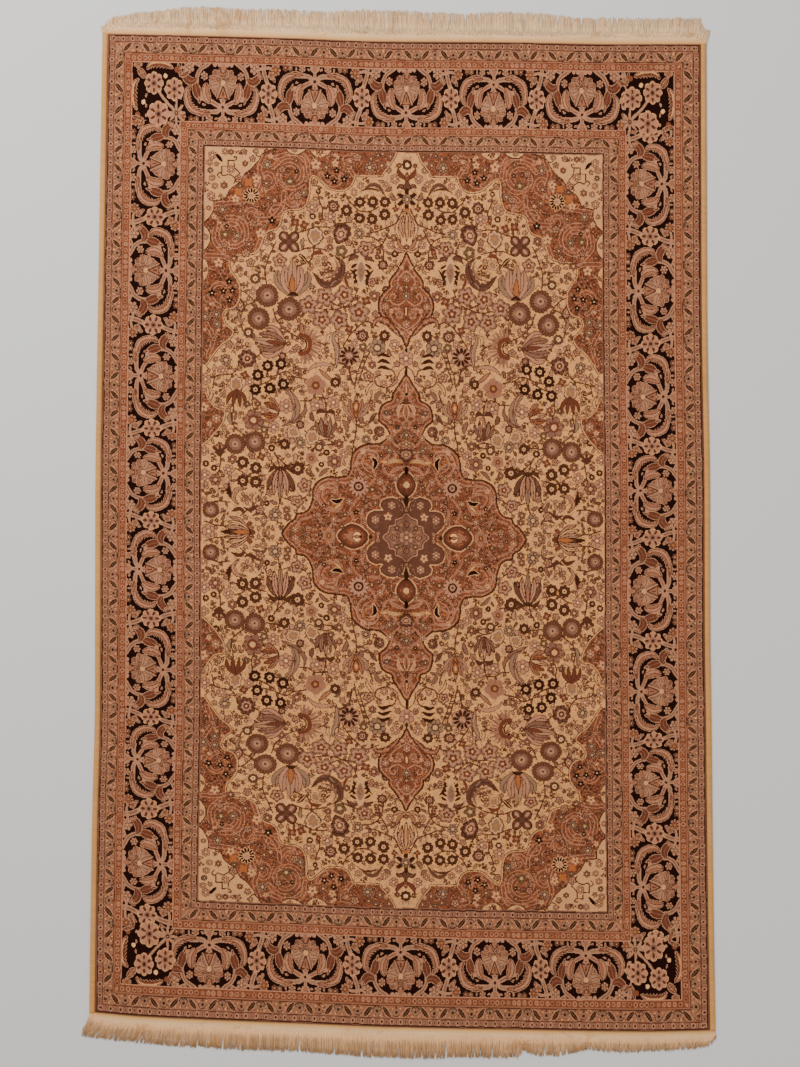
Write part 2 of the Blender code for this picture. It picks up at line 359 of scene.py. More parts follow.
for bead in range(BEADS):
    x = GUARD_REPEAT / BEADS * (bead + beader.uniform(0.4, 0.6))
    guard.disc(x, BEAD_ROW, beader.uniform(1.9, 2.2),
               beader.choice(("pink", "blush", "pink", "pink", "salmon")))
    guard.disc(x, BEAD_ROW, 1.15, beader.choice(("rust", "rust", "brick", "salmon")))
    guard.disc(x + 2.8, beader.choice((2, 6.2)), 0.6, beader.choice(("brick", "orange")))
for ring in range(RINGS):
    x = GUARD_REPEAT / RINGS * (ring + beader.uniform(0.44, 0.56))
    guard.disc(x, RING_ROW, 2.4, beader.choice(("pink", "blush", "pink")),
               wide=beader.uniform(0.8, 0.95))
    guard.disc(x, RING_ROW, 1.35, "walnut", wide=0.8)
    guard.disc(x, RING_ROW, 0.8, "coffee")
    x += 4.75 + beader.uniform(-0.3, 0.3)
    if beader.random() < 0.5:
        guard.disc(x, RING_ROW, 1.7, "salmon", wide=0.9)
        guard.disc(x, RING_ROW, 0.8, "coffee", wide=0.8)
    else:
        for side in (-1, 1):
            guard.vine([(x + 1.6 * side, 19.4), (x + 0.7 * side, RING_ROW), (x + 1.6 * side, 23)],
                       0.9, "salmon")
        guard.disc(x, RING_ROW, 0.5, "coffee")
for fleck in range(420):
    guard.disc(beader.uniform(0, GUARD_REPEAT), beader.uniform(9.2, 17.5), beader.uniform(0.4, 0.75),
               beader.choice(("rose", "walnut", "cream", "orange", "rust", "brown", "grey")))
for pair in range(PAIRS):
    x = GUARD_REPEAT / PAIRS * pair + 9.5
    for side in (-1, 1):
        for shift in (-3.4, 3.4):
            guard.vine([(x + side * (5.2 + shift), 9.4), (x + side * (13.6 + shift), 17.4)], 0.7, "pink")
        guard.leaf([(x + side * 5.2, 9), (x + side * 9.2, 13.4), (x + side * 13.4, 17.8)], 5.4,
                   "pink", "coffee", rib="olive", blunt=0.45)
    # In the narrow gap a blossom on two feet, in the wide one a dark eye in a ring
    guard.vine([(x - 4.4, 11.2), (x - 2.6, 9.6), (x, 9.3), (x + 2.6, 9.6), (x + 4.4, 11.2)], 1.1, "slate")
    guard.petals(x, 13.2, 1, 4.2, 2.2, 5, "grey")
    guard.petals(x, 13.2, 2.2, 4, 1, 5, "mauve")
    guard.disc(x, 12.9, 1.2, "coffee")
    guard.rings(x + 19, 13.6, (2.9, "grey"), (2, "salmon"), (1.25, "coffee"))
    guard.vine([(x + 15.8, 15.6), (x + 17.4, 17), (x + 19, 16.6), (x + 20.6, 17), (x + 22.2, 15.6)],
               0.9, "slate")
    guard.disc(x + 19, 9.8, 1, "brick")
    for side in (-1, 1):
        guard.disc(x + 3 * side, 16.4, 0.8, "cream")
        guard.disc(x + 19 + 3.6 * side, 10.8, 0.8, "cream")

# The main border: on near-black wool, a palmette between paired leaves, then a rosette. x runs
# from a palmette to a rosette, and y from its stem's side to its tip's. The rest of the border
# is this half repeat, mirrored at each palmette and turned round at each rosette.
HALF_REPEAT = 50
BORDER_HALF = 24.5
border = Chart(0, HALF_REPEAT, -BORDER_HALF, BORDER_HALF, "black",
               copies=((1, 0, 1, 0), (-1, 0, 1, 0), (-1, 2 * HALF_REPEAT, -1, 0)))
# Stems. Columns: route, width, yarn
border.vines(
    (((27.2, 7), (26.8, 12), (25.4, 16), (22.4, 20), (18.2, 22.6), (13, 26), (9, 30)), 4, "blush"),
    (((27, 9), (26.8, 12), (25.4, 16), (22.4, 20), (18.2, 22.6), (13, 26)), 1.4, "rose"),
    (((0, -12.3), (5.4, -10.6), (10.7, -8.2), (14.4, -6.6), (19, -5.6), (25, -5)), 3.8, "pink"),
    (((5.4, -10.6), (10.7, -8.2), (14.4, -6.6), (19, -5.6)), 1.4, "rose"),
    (((0, -12.3), (3.2, -14), (6.6, -15.8), (12, -16.4), (18, -16.2)), 4.2, "blush"),
    (((6, -15.6), (10, -16.4), (17, -16.4)), 1.6, "grey"),
    (((49, 8), (47, 13), (45, 18), (44, 26)), 4.4, "blush"),
    (((47.4, 12), (45.4, 17.4), (44.4, 24)), 1.6, "rose"),
    (((56, 20.6), (48, 22), (40, 20.8), (33, 24.4)), 2.6, "blush"),
    (((24, 22), (28, 23.8), (36, 27)), 1.6, "blush"))
# The palmette: pointed petals round a heart, the upper pair parted by a small fan
border.palmette((0, -8), (0, 20.6), 29, ((1, 0.12, "pink"), (0.93, 0.12, "walnut"), (0.88, 0.12, "rose")),
                lobes=9)
for tip, width, body in (((10.2, 18.6), 8.6, "rose"), ((3.6, 20.4), 7.6, "salmon"),
                         ((14.8, 12.8), 8.6, "salmon"), ((14.4, 5.6), 8, "blush"),
                         ((7.2, -3.8), 6.8, "grey")):
    border.leaf([(0.2, 8.6), (tip[0] * 0.6, tip[1] * 0.6 + 3.2), tip], width, "pink", body, rib="walnut",
                line="walnut", blunt=0.42)
border.vines(
    (((0, -3.4), (3.4, -3.4)), 3, "salmon"), (((0, -1), (2.2, -1)), 3, "salmon"),
    (((0, 0), (0, 3.6)), 2.2, "salmon"), (((6.4, -5), (1.4, 6.4)), 1.2, "pink"),
    (((0, -5.2), (5, -5.2)), 1.2, "brown"), (((5, -5.2), (0, 6)), 1.2, "brown"),
    (((0, -2.6), (0, 0.4)), 1.4, "brick"))
for tip in ((7.4, 12.2), (2.6, 15.6)):
    border.leaf([(0, 8.4), (tip[0] * 0.6, tip[1] * 0.7 + 2), tip], 3.6, "walnut", "pink", rib="slate")
border.disc(0, 8.4, 2.4, "cream")
border.disc(0, -7.6, 2.7, "blush")
border.disc(0, -6.8, 1.1, "rose")
border.vine([(-2.6, 20.4), (-2, 17.6), (0, 16.4), (2, 17.6), (2.6, 20.4)], 0.9, "brown")
border.disc(0, 21.6, 2.8, "salmon")
border.disc(3.8, 24.2, 2.5, "blush")
border.disc(8.6, 24, 2.2, "pink")
# Its stem, which opens to the border's edge
border.vines((((0, -12.3), (0, -22)), 3.4, "blush"), (((0, -14.6), (0, -22)), 1.2, "rose"))
border.leaf([(0, -19), (2.6, -21.8), (5.2, -24.6)], 3.4, None, "blush")
border.disc(0, -22.4, 2.6, "salmon")
border.disc(0, -12.3, 2.5, "pink")
border.disc(0, -12.1, 1.5, "coffee")
# Leaves. Columns: route, width, body, rib, teeth, right half
for points, width, *yarns in (
        (((24.2, -6.2), (26.4, 0.4), (28.8, 8.8)), 8.8, "brick", "rose"),
        (((12.6, -9), (16.4, -4.2), (17.8, 1.4), (17, 8.6)), 8.8, "pink", "brick", 0, "salmon"),
        (((40.6, 17.6), (37.2, 11.8), (32, 9.4), (26.4, 12)), 8, "brick", "rose"),
        (((12, -16.8), (18, -17.2), (24, -17), (30.2, -14.6)), 6, "salmon", "brick"),
        (((19, -16.8), (27.4, -14.8), (32.6, -11.6), (35.2, -7), (36.2, -2.8), (35.8, 1.2), (32.4, 5.4)), 8.8,
         "pink", "brick", 9, "salmon"),
        (((24.2, -3.6), (24.4, -6.4), (23.2, -9.6)), 2.8, "blush"),
        (((57, -12.4), (60.4, -15.6), (61.4, -20)), 4.4, "pink"),
        (((43, -10.2), (45.4, -13.6), (49.6, -15.8)), 4, "pink")):
    border.leaf(points, width, "blush", *yarns, line="brown", blunt=0.45)
# Blossoms. Columns: x, y, size, kind
border.flowers(
    (19.3, 14, 3.7, "bloom"), (34.2, 21, 5.2, "bloom"), (42.4, -20.6, 5.2, "gilt"),
    (13.6, -22.8, 3.8, "bloom"), (26.4, -22.6, 2.8, "pale"), (31.8, -22.6, 3.4, "rust"),
    (23.6, 27, 4.2, "peach"), (52.6, 16, 3.6, "peach"), (37.8, 25, 2.4, "bloom"))
# The rosette, with six slots round its eye
border.flower(50, 0, 9.8, "rosette")
border.petals(50, 0, 3.8, 8.2, 2.5, 6, "brown")

# Each corner of the main border: three great rosettes and a small star, on the same ground.
# x and y are squares out from its inner corner.
CORNER_LAP = 9              # how far the corner's flowers lie over the neighbouring repeats
corner = Chart(-CORNER_LAP, BORDER_HALF * 2, -CORNER_LAP, BORDER_HALF * 2, "bare")
corner.dye[np.ix_(corner.y > 0, corner.x > 0)] = DYES.index("black")
for flip in (1, -1):
    # Columns: route, width, body, rib, teeth, right half
    for points, width, *yarns in (
            (((35, 42.6), (29, 47), (18, 47.4), (8, 44.2)), 8, "cream", "rust", 8, "brick"),
            (((3, 49), (1.5, 42), (-1, 37)), 4, "blush", "rust"),
            (((2, 38), (-4, 39), (-9, 43)), 4, "salmon", "rust"),
            (((35, 36), (38, 40), (43, 44)), 4.2, "blush", "rust")):
        route = [point[::flip] for point in points][::flip]
        corner.leaf(route, width, "blush", *yarns, line="brown", blunt=0.5)
    for place, size, yarn in (((15.6, 37.7), 2, "ivory"), ((43.4, 4.6), 2.4, "rust"),
                              ((4, 34.6), 1.4, "pink")):
        corner.disc(*place[::flip], size, yarn)
corner.flower(43.6, 48, 4.6, "peach")
corner.vines((((4, 7), (17, 18.5), (27, 31)), 2.4, "blush"), (((4, 7), (4, 16), (6.4, 26)), 2, "blush"),
             (((4, 7), (12, 4), (22, 5)), 2.2, "blush"))
for x, y, size in ((27.3, 31.4, 9.8), (6.4, 26.6, 10), (22.3, 5.4, 11.4)):
    corner.flower(x, y, size, "rosette")
    corner.petals(x, y, 3.8, size * 0.78, 2.4, 6, "brown")
corner.petals(4, 6.8, 1, 9.6, 2.6, 8, "blush")
corner.rings(4, 6.8, (2.6, "rose"), (1.5, "coffee"), (0.7, "pink"))

# ---- The field: a quarter of it, from the top left corner to the middle of the medallion ----
# Flowers, leaves and vines on straw-coloured wool, with the medallion, its pendant and the
# corner pieces in madder. x and y are squares counted from the chart's top left corner.
AXIS, WAIST = 406.3, 537.4    # x and y of the middle of the medallion
FIELD = (201.6, 153)        # the field's top left corner
field = Chart(FIELD[0], AXIS, FIELD[1], WAIST, "straw")


def on_axis(*heights):
    """Points on the rug's long axis."""
    return [(AXIS, y) for y in heights]


# Vines, each through a few points
VINES = (
    ((297, 236), (306, 233), (314, 229.6), (329, 229.6), (335.8, 225.5)),
    ((316.7, 195.5), (318, 203.7), (321.5, 213), (319.4, 222.8), (316.7, 227)),
    ((297.6, 254), (307, 250.7), (318, 251.4), (327.6, 254)),
    ((344, 195.5), (346.7, 201), (352, 206.4), (359, 211.8), (368.5, 211.8), (376.7, 207.8)),
    ((365.8, 233.7), (375.4, 232.3), (384.9, 228.2), (394.5, 224), (402.6, 209)),
    ((363, 236.4), (374, 239), (380.8, 246), (383.5, 258.2), (382.2, 267.8)),
    ((264.8, 288), (263.5, 274.6), (267.6, 261), (271.7, 251.4), (274.4, 246)),
    ((271.7, 312.8), (275.8, 323.7), (284, 333.3), (296.2, 340), (304, 345)),
    ((315.3, 310.8), (329, 312), (342.6, 308.7), (352.2, 301.9), (357.6, 289.6)),
    ((332, 372), (338, 358), (346, 342), (354.9, 330.5), (365.8, 322.4), (378, 327)),
    ((241.7, 336), (239.6, 322.4), (244.4, 311.4), (252.6, 307.3)),
    ((262, 382.3), (274.4, 379.6), (285.3, 375.5), (293.5, 379.6), (306, 382.3)),
    ((256.7, 390.5), (266.2, 386.4), (275.8, 381)),
    ((237.6, 366), (236.2, 374), (229.4, 379.6), (215.7, 382.3), (212, 394)),
    ((356, 410), (356.3, 421.9), (355.6, 435.5), (353.5, 445), (351.6, 458)),
    ((316.7, 391.8), (323.5, 400), (326.2, 412.3), (325.6, 418)),
    ((304.4, 434), (309.9, 438.2), (314, 443.7), (326, 442), (338, 446)),
    ((266.2, 447.8), (278, 446.5), (290, 448)),
    ((252.6, 398), (252, 411), (258, 421)),
    ((233.5, 412), (232, 427.3), (237.6, 435.5), (248, 442)),
    ((274.4, 456), (278.5, 466.9), (279.8, 478)),
    ((277, 461), (285.3, 468.2), (297, 472)),
    ((299, 470), (308, 468), (318, 463)),
    ((234.8, 474), (243, 477.5), (249.8, 481.9), (266.2, 479)),
    ((221.2, 460), (219.8, 474), (216, 484)),
    ((279.8, 502), (278.5, 511.9), (275.5, 519)),
    ((206, 528), (215, 531), (224, 532)),
    ((338, 364), (345, 366), (352, 362), (349, 356)),
    ((352, 382), (349, 372), (341, 358), (338, 340)),
    ((352, 385), (350, 375), (349, 366)),
    ((354, 390), (357, 375), (362, 362), (365, 350)),
    ((384, 336), (378, 345), (370, 352), (364, 366), (358, 384)),
    ((325, 299), (333, 305), (343, 309), (356, 305), (357, 297)),
    ((291, 298), (289, 306), (283, 318), (276, 326)),
    ((240, 296), (247, 300), (256, 312), (258, 320)),
    ((313, 250), (310, 262), (300, 268), (290, 270)),
    ((340, 262), (350, 256), (361, 252)),
    ((388, 232), (382, 244), (372, 250)),
    ((310, 348), (318, 345), (328, 350)),
    ((272, 345), (262, 348), (247, 340)),
    ((247, 364), (258, 360), (272, 347)),
    ((300, 404), (308, 404), (317, 400), (333, 402)),
    ((372, 396), (366, 410), (356, 424)),
    ((284, 502), (296, 505), (306, 500)),
    ((241, 521), (248, 515), (258, 510)),
    ((320, 450), (327, 447), (339, 446)),
    ((262, 424), (255, 436), (246, 441)),
    ((209, 516), (214, 508), (222, 507), (230, 508)),
)
for points in VINES:
    line = curve(points)
    for k in range(3, len(line) - 2, 5):
        ahead = line[k + 1] - line[k]
        aside = np.array((ahead[1], -ahead[0])) * (1 - 2 * (k // 5 % 2))
        out = (aside + 0.5 * ahead) / math.hypot(*(aside + 0.5 * ahead))
        field.leaf([line[k], line[k] + 2.6 * out + 0.5 * ahead, line[k] + 5.4 * out + 0.4 * ahead], 3.2,
                   "brown", ("rose", "walnut", "pink")[k % 3])
    field.vine(points, 1.3, "brown")

# Leaves. Columns: route, width, then yarns for edge, body and rib, and saw teeth
LEAVES = (
    (((362, 192), (369, 186), (377, 187), (384.5, 197)), 5, None, "walnut", "brown", 6),
    (((358, 193), (366, 189.5), (374, 190), (380, 193)), 2.2, None, "brown"),
    (((303, 241), (301, 246), (303, 250)), 4.6, "slate", "grey"),
    (((296.5, 257), (302, 261), (307.5, 267.5)), 4.6, None, "coffee", "cream"),
    (((333.6, 257), (341, 266), (336, 281), (324, 286), (311, 275)), 10, "brown", "mauve", "coffee", 8),
    (((333, 259), (336.5, 268), (331, 278), (320, 281)), 2.8, None, "rose"),
    (((309, 259), (315.5, 255), (323, 257)), 4, None, "brick"),
    (((326, 263), (331, 268)), 2.2, None, "brown"),
    (((347, 263), (354, 258), (360, 262)), 5.6, "coffee", "mauve", None, 4),
    (((374, 262), (367, 258), (361, 262)), 5.6, "coffee", "mauve", None, 4),
    (((349, 270), (354, 276), (357, 286)), 3.4, None, "coffee", None, 3),
    (((373, 270), (368, 276), (365, 286)), 3.4, None, "coffee", None, 3),
    (((329, 290), (333, 284), (338, 282)), 3.2, "slate", "grey"),
    (((344, 277), (345.5, 284), (349, 290)), 3.2, None, "brick"),
    (((336, 370), (337, 352), (333, 340), (336, 331)), 6.4, "slate", "grey", "pink", 9),
    (((329, 347), (327, 340), (331, 334)), 4, "slate", "cream"),
    (((307, 376), (313, 369.5), (324, 366.6), (337, 370)), 5.6, "walnut", "pink", None, 7),
    (((341, 384), (338, 378), (333, 376)), 3.4, None, "walnut"),
    (((276, 386), (288, 396), (296, 410), (292, 424), (280, 431)), 8.6, "mauve", "grey", "mauve", 9),
    (((283, 390), (292, 400), (295, 416)), 3.2, "mauve", "pink"),
    (((288, 426), (297, 424), (305, 414), (304, 404)), 5.6, "brown", "rose", None, 6),
    (((349, 425), (350, 419), (355, 416)), 5, "brown", "rose"),
    (((361, 425), (361, 419), (356, 416)), 5, "brown", "rose"),
    (((375, 402), (377, 396), (381, 391)), 5.4, "walnut", "rose"),
    (((369, 424), (373, 418), (377, 413)), 4.6, "brown", "mauve"),
    (((342, 421), (346, 427), (347, 434)), 5.6, "brown", "rose"),
    (((229, 488), (228, 495), (231, 504)), 7, "brick", "coffee", None, 5),
    (((240, 511), (234, 503), (238, 495), (248, 494)), 6, "brown", "pink", "olive", 7),
    (((258, 499), (262, 508), (258, 514)), 4, "brown", "rose"),
    (((243, 512), (251, 515), (260, 509)), 3.4, None, "brown"),
    (((232, 431), (229, 424), (231, 417)), 4.6, "slate", "grey"),
    (((330, 470), (324, 474), (319, 480)), 4.4, "brown", "rose"),
    (((246, 518), (240, 514), (231, 517)), 4, None, "brown"),
    (((252, 521), (262, 518), (268, 523)), 4, "brown", "walnut", None, 4),
    (((205, 412), (211, 401), (207, 392)), 4, "brown", "cream"),
    (((376, 380), (368, 388), (366, 397)), 4, "brown", "cream"),
    (((318, 371), (326, 378), (333, 384)), 4.6, "brown", "salmon"),
    (((243, 331), (238, 324), (238, 314)), 3.8, "walnut", "grey"),
    (((302, 296), (308, 288), (316, 290)), 3.8, "slate", "grey"),
)
field.leaves(*LEAVES)

# Flowers. Columns: x, y, size, kind
FIELD_FLOWERS = (
    (358.7, 203, 5.4, "ink"), (371.5, 202.5, 5.4, "ink"), (384, 202.5, 5.4, "ink"),
    (384, 215, 5.6, "ink"), (371, 220, 5.4, "ink"), (358.4, 219, 5.4, "ink"),
    (345.3, 212, 5.8, "ink"), (331.8, 208, 6.2, "mauve"), (358.4, 234.5, 5.4, "grey"),
    (293.4, 226, 4.6, "heart"), (302.6, 228, 4.4, "heart"), (311, 219, 3.2, "ring"),
    (319.5, 220.5, 3, "heart"), (316.7, 194, 2.6, "ring"), (329, 249.4, 3.6, "rust"),
    (340.6, 252.8, 6.2, "green"), (314, 239, 8, "pale"), (341, 233, 9, "mauve"),
    (382.4, 265.5, 5.2, "mauve"), (365, 249, 8, "leafy"), (378, 252, 3.2, "heart"),
    (394.7, 254, 3.6, "ink"), (394.7, 209, 3.2, "heart"), (390, 245, 4.2, "pale"),
    (325, 299, 9.6, "leafy"), (344, 296, 9.4, "leafy"), (307.5, 308, 9.4, "leafy"),
    (321, 322, 9.4, "leafy"), (338.7, 321.5, 9.4, "leafy"), (358.4, 313.5, 10.4, "leafy"),
    (365.6, 301.5, 4.8, "heart"), (266, 300, 10.8, "great"), (288, 313, 11.2, "great"),
    (257.6, 323.4, 10.6, "great"), (254, 283.4, 5, "ring"), (247.5, 337.6, 5, "ring"),
    (349, 356.6, 10.4, "pale"), (377, 348, 8.6, "grey"),
    (384.5, 336, 5.4, "ink"), (394.7, 344.6, 5, "pale"), (362, 336.6, 6, "mauve"),
    (363, 347.5, 4.4, "green"), (246.4, 363.6, 8.8, "mauve"), (224.7, 365.4, 5.6, "grey"),
    (222, 376, 4.8, "pale"), (267, 370, 5.7, "dark"), (280.5, 368, 5.7, "dark"),
    (257.3, 379.7, 5.7, "dark"), (255, 394, 5.7, "dark"), (269.6, 392.7, 5.7, "dark"),
    (283, 388, 5.7, "dark"), (244, 380, 4.2, "heart"), (253, 425, 10.2, "rust"),
    (235, 449.5, 9.6, "great"), (255, 446.4, 9.8, "great"), (315.5, 388, 10, "peach"),
    (335, 384, 5, "ink"), (317, 408, 6.4, "pale"), (333, 404, 6.4, "pale"),
    (290, 440, 7, "pale"), (300, 446, 5.6, "grey"), (284.5, 448, 5.2, "ink"),
    (271.5, 452, 3.6, "ink"), (251.6, 460, 4, "leafy"), (261, 461, 4.2, "heart"),
    (242.8, 467.5, 5.9, "ink"), (255.8, 472.8, 5.9, "ink"), (242.8, 486, 5.9, "ink"),
    (255.8, 487, 5.9, "ink"), (228.6, 475.5, 5.4, "pale"), (297.8, 472, 6.6, "ink"),
    (319, 449.5, 4.6, "ring"), (334.3, 463.3, 7.2, "rust"), (211, 516, 7.9, "great"),
    (209, WAIST, 6.6, "pale"), (275.3, 519, 6.4, "grey"), (311.4, 461, 6.2, "peach"),
    (339, 445.7, 4.8, "rust"), (215.6, 486, 6.2, "rust"), (297.5, 504.6, 6.4, "leafy"),
    (305, 488.5, 7.4, "leafy"), (326.7, 454.8, 3.2, "ink"), (321.7, 467, 2.8, "ink"),
    (308.7, 474.7, 3.4, "rust"), (260, 514.5, 4.6, "leafy"), (267, 507.6, 3, "ink"),
    (286.8, 513.8, 3.8, "rust"), (214, 474, 3.2, "ink"), (246, 409, 3.8, "green"),
    (264, 434, 4.2, "green"), (379, 431.5, 5.2, "ring"), (312, 340, 4, "peach"),
    (296, 352, 4.4, "leafy"), (238, 394, 3.8, "leafy"), (233, 311, 5.2, "grey"),
    (331, 232, 3.8, "pale"), (349, 330, 4.2, "heart"), (300, 428, 4.2, "mauve"),
    (321, 427, 4, "ink"), (366, 440, 4.6, "grey"), (372, 405, 3.8, "leafy"),
    (226, 492, 3, "leafy"), (270, 497, 4, "leafy"), (292, 492, 3.6, "mauve"),
    (331, 438, 3.6, "rust"), (282, 334, 4.4, "rust"), (301, 331, 4.6, "rust"),
    (228, 350, 4.2, "leafy"), (216, 440, 3.6, "ink"), (206, 470, 3.4, "ink"),
    (282, 360, 4, "mauve"), (308, 360, 3.8, "leafy"), (386, 290, 4, "mauve"),
    (371, 283, 4.6, "leafy"), (393, 238, 3.6, "rust"), (372, 365, 4, "rust"),
    (398, 325, 3.6, "mauve"), (384, 320, 5, "grey"),
)
for number, (x, y, size, kind) in enumerate(FIELD_FLOWERS):
    field.flower(x, y, size * 1.1, kind, turn=number * 25)


def lotus(base, tip, width, edge, bodies, heart="brick", flare=0.98, petal=0.33):
    """A blossom seen from the side: pointed petals spread from its base, the middle one in front.

    bodies are the yarns of its petals, from the outermost pair inwards, and flare says how far
    their tips spread.
    """
    base, up = np.array(base, float), np.subtract(tip, base)
    aside = np.array((-up[1], up[0])) / math.hypot(*up) * width / 2
    for number, body in enumerate(bodies):
        lean = 1 - number / (len(bodies) - 1)
        for side in (-1, 1):
            out = aside * side * lean
            belly = base + up * 0.4 + out * (1.93 - flare)
            field.leaf([base, belly, base + up * (1 - 0.3 * lean) + out * flare], width * petal, edge, body,
                       rib="brown", blunt=0.5)
    field.leaf([base, base + up * 0.3, base + up * 0.62], width * 0.2, "brown", heart)


# The larger blossoms, each drawn on its own. A fan's layers: share of its size, scallop, yarn
FAN = {
    "plum": ((1, 0.18, "coffee"), (0.88, 0.22, "mauve"), (0.62, 0.22, "pink"),
             (0.40, 0.15, "brown"), (0.24, 0, "cream")),
    "fawn": ((1, 0.20, "slate"), (0.88, 0.22, "cream"), (0.66, 0.25, "grey"),
             (0.44, 0.15, "salmon"), (0.24, 0, "gold")),
}
for start, end, width, yarn, turn in ((1.5, 13, 10.5, "coffee", 45), (2, 11.8, 8.6, "mauve", 45),
                                      (4.4, 10.6, 3.4, "pink", 45), (0, 7, 3, "brown", 0)):
    field.petals(287.5, 245.5, start, end, width, 4, yarn, turn)
field.disc(287.5, 245.5, 2.6, "mauve")
lotus((291.5, 300), (291, 263), 30, "walnut", ("grey", "pink", "blush"), "orange")
field.leaf([(286, 300), (292, 297), (298, 300)], 3.6, None, "coffee")
field.palmette((313, 249), (315, 229), 17, FAN["fawn"])
field.palmette((336, 246), (344, 226), 17, FAN["plum"])
field.palmette((312, 270), (320, 259), 11, FAN["fawn"])
field.palmette((360.5, 290), (360.5, 257), 12, ((1, 0.1, "cream"), (0.62, 0, "grey"),
                                                (0.34, 0, "rose")), lobes=3)
for side in (-1, 1):
    for step in range(4):
        field.leaf([(360.5 + side * 3.6, 265 + 5.4 * step), (360.5 + side * 6, 266 + 5.4 * step),
                    (360.5 + side * (10.5 - 1.4 * step), 269.5 + 5.4 * step)], 2.8, None, "coffee")
lotus((285, 348), (252, 344), 26, "brown", ("pink", "rose", "blush"))
field.palmette((236, 403), (235, 379), 15, FAN["fawn"])
for lean in (-26, -9, 9, 26):
    tip = (236 + 22 * math.sin(math.radians(lean)), 393 + 20 * math.cos(math.radians(lean)))
    field.leaf([(236, 394), ((236 + tip[0]) / 2 + lean / 9, (394 + tip[1]) / 2), tip], 4.6, "brown", "brick")
for step in range(15):
    lean = math.radians(14 * step - 98)
    field.leaf([(303 + away * math.cos(lean), 347.5 + 1.1 * away * math.sin(lean)) for away in (6, 13, 19)],
               2.6, None, ("salmon", "rose")[step % 2])
field.vines(
    ([(300, 338), (307, 340.5), (309.5, 347.5), (307, 354.5), (300, 357)], 4.4, "brick"),
    ([(300, 341), (304.5, 343), (306, 347.5), (304.5, 352), (300, 354)], 1.4, "coffee"))
field.petals(349, 356.6, 3.8, 9.8, 3, 11, "coffee")
field.disc(349, 356.6, 2.4, "pink")
for side in (0, 1, 2):
    field.leaf([(377, 357 + 6 * side), (383, 355 + 6 * side), (391, 358 + 6 * side)], 3.6, None,
               "coffee")
field.vine([(388, 368), (394, 372), (395, 381), (387, 388), (377, 385), (375, 378), (381, 375)], 1.4,
           "brown")
field.leaf([(394, 372), (396, 381), (387, 388)], 3.8, "brown", "pink", teeth=4)
lotus((279, 417), (259, 412), 22, "brown", ("salmon", "rust", "pink"), "cream", 1.05, 0.26)
lotus((355.8, 420), (355.8, 396), 23, "walnut", ("blush", "salmon", "pink"), "orange", 1.1, 0.27)
field.palmette((355.8, 415), (355.8, 401), 7, ((1, 0, "brown"), (0.72, 0, "orange"),
                                               (0.36, 0, "cream")), lobes=3)
lotus((325.6, 440), (325.6, 416), 19, "brown", ("rose", "grey", "pink"), "brick", 1.08, 0.25)
field.leaves(
    ([(316, 417), (320, 413), (326, 415)], 4.4, None, "brown"),
    ([(335, 417), (331, 413), (326, 415)], 4.4, None, "brown"))
lotus((280.6, 471), (280.6, 505), 24, "coffee", ("mauve", "pink", "grey"), "salmon", 1.08, 0.27)
for side in (-1, 1):
    field.leaf([(280.6, 475), (280.6 + side * 6, 471), (280.6 + side * 13, 477)], 4, "coffee",
               "brown")
lotus((246, WAIST), (256, WAIST), 18, "brown", ("rust", "salmon", "brick"))
lotus((251, WAIST), (221, WAIST), 28, "coffee", ("pink", "cream", "blush", "mauve"), "orange", 1.08, 0.2)
field.leaf([(222, WAIST), (227, WAIST), (232, WAIST)], 4.6, None, "coffee")
field.palmette((219.4, 462), (219.4, 448), 15, ((1, 0.3, "brown"), (0.8, 0.35, "salmon"),
                                                (0.4, 0, "cream")), lobes=5)
for lean in (-40, 0, 40):
    reach = math.radians(lean)
    field.leaf([(219.4, 462), (219.4 + 6 * math.sin(reach), 455),
                (219.4 + 12 * math.sin(reach), 462 - 13 * math.cos(reach))], 3.4, None, "brown")
field.palmette((309, 448), (315, 432), 16, FAN["fawn"])
field.palmette((300, 440), (287, 432), 14, FAN["fawn"])
field.palmette((236, 302), (241, 318), 10, FAN["plum"])

# On the axis above the pendant: a chain of blossoms under a cream dome
field.area([(381, 177), (381, 172), (384, 164), (391, 158), (400, 155.5), (AXIS, 155), (420, 155),
            (420, 190), (400, 190)], (0, "cream"), (1.4, "straw"))
field.leaves(
    ([(AXIS, 180), (399, 174), (397, 168)], 5, "brown", "brick"),
    (on_axis(172, 177, 184), 5, "coffee", "rust"))
field.flower(AXIS, 165, 5.6, "ink")
field.disc(AXIS, 165, 2.2, "ivory")
field.flowers((398, 166, 3, "rust"), (388, 171, 3.4, "pale"))
field.leaves(
    ([(AXIS, 190), (400, 186), (396, 189)], 4.6, "coffee", "mauve"),
    (on_axis(181, 187, 193), 7.6, "coffee", "mauve"))
field.petals(AXIS, 199.4, 3, 11, 4.4, 6, "coffee", turn=0)
field.flower(AXIS, 199.4, 5.6, "grey")
field.leaf([(402, 198), (397, 201), (394, 206)], 4.2, "slate", "cream")
field.disc(AXIS, 210.5, 2.2, "orange")
field.leaves(
    (on_axis(212, 226, 242), 6, "coffee", "salmon", "cream"),
    ([(404, 214), (399.5, 224), (403, 238)], 4.4, "coffee", "pink"),
    ([(402, 216), (396, 228), (401, 243)], 3.8, "slate", "cream"),
    ([(AXIS, 249), (400, 246), (396, 237)], 4.4, "brown", "salmon"),
    ([(AXIS, 251), (398, 251), (392, 246)], 3.8, "brown", "pink"))
field.flowers((AXIS, 247, 3.2, "rust"), (AXIS, 358.5, 8.4, "pale"))
field.leaves((on_axis(347, 350, 353), 3, None, "coffee"), (on_axis(365, 372, 380), 3.4, None, "coffee"))
field.vine([(AXIS, 366), (400, 371), (397, 379)], 1, "brown")
field.flower(397, 364, 3.6, "leafy")

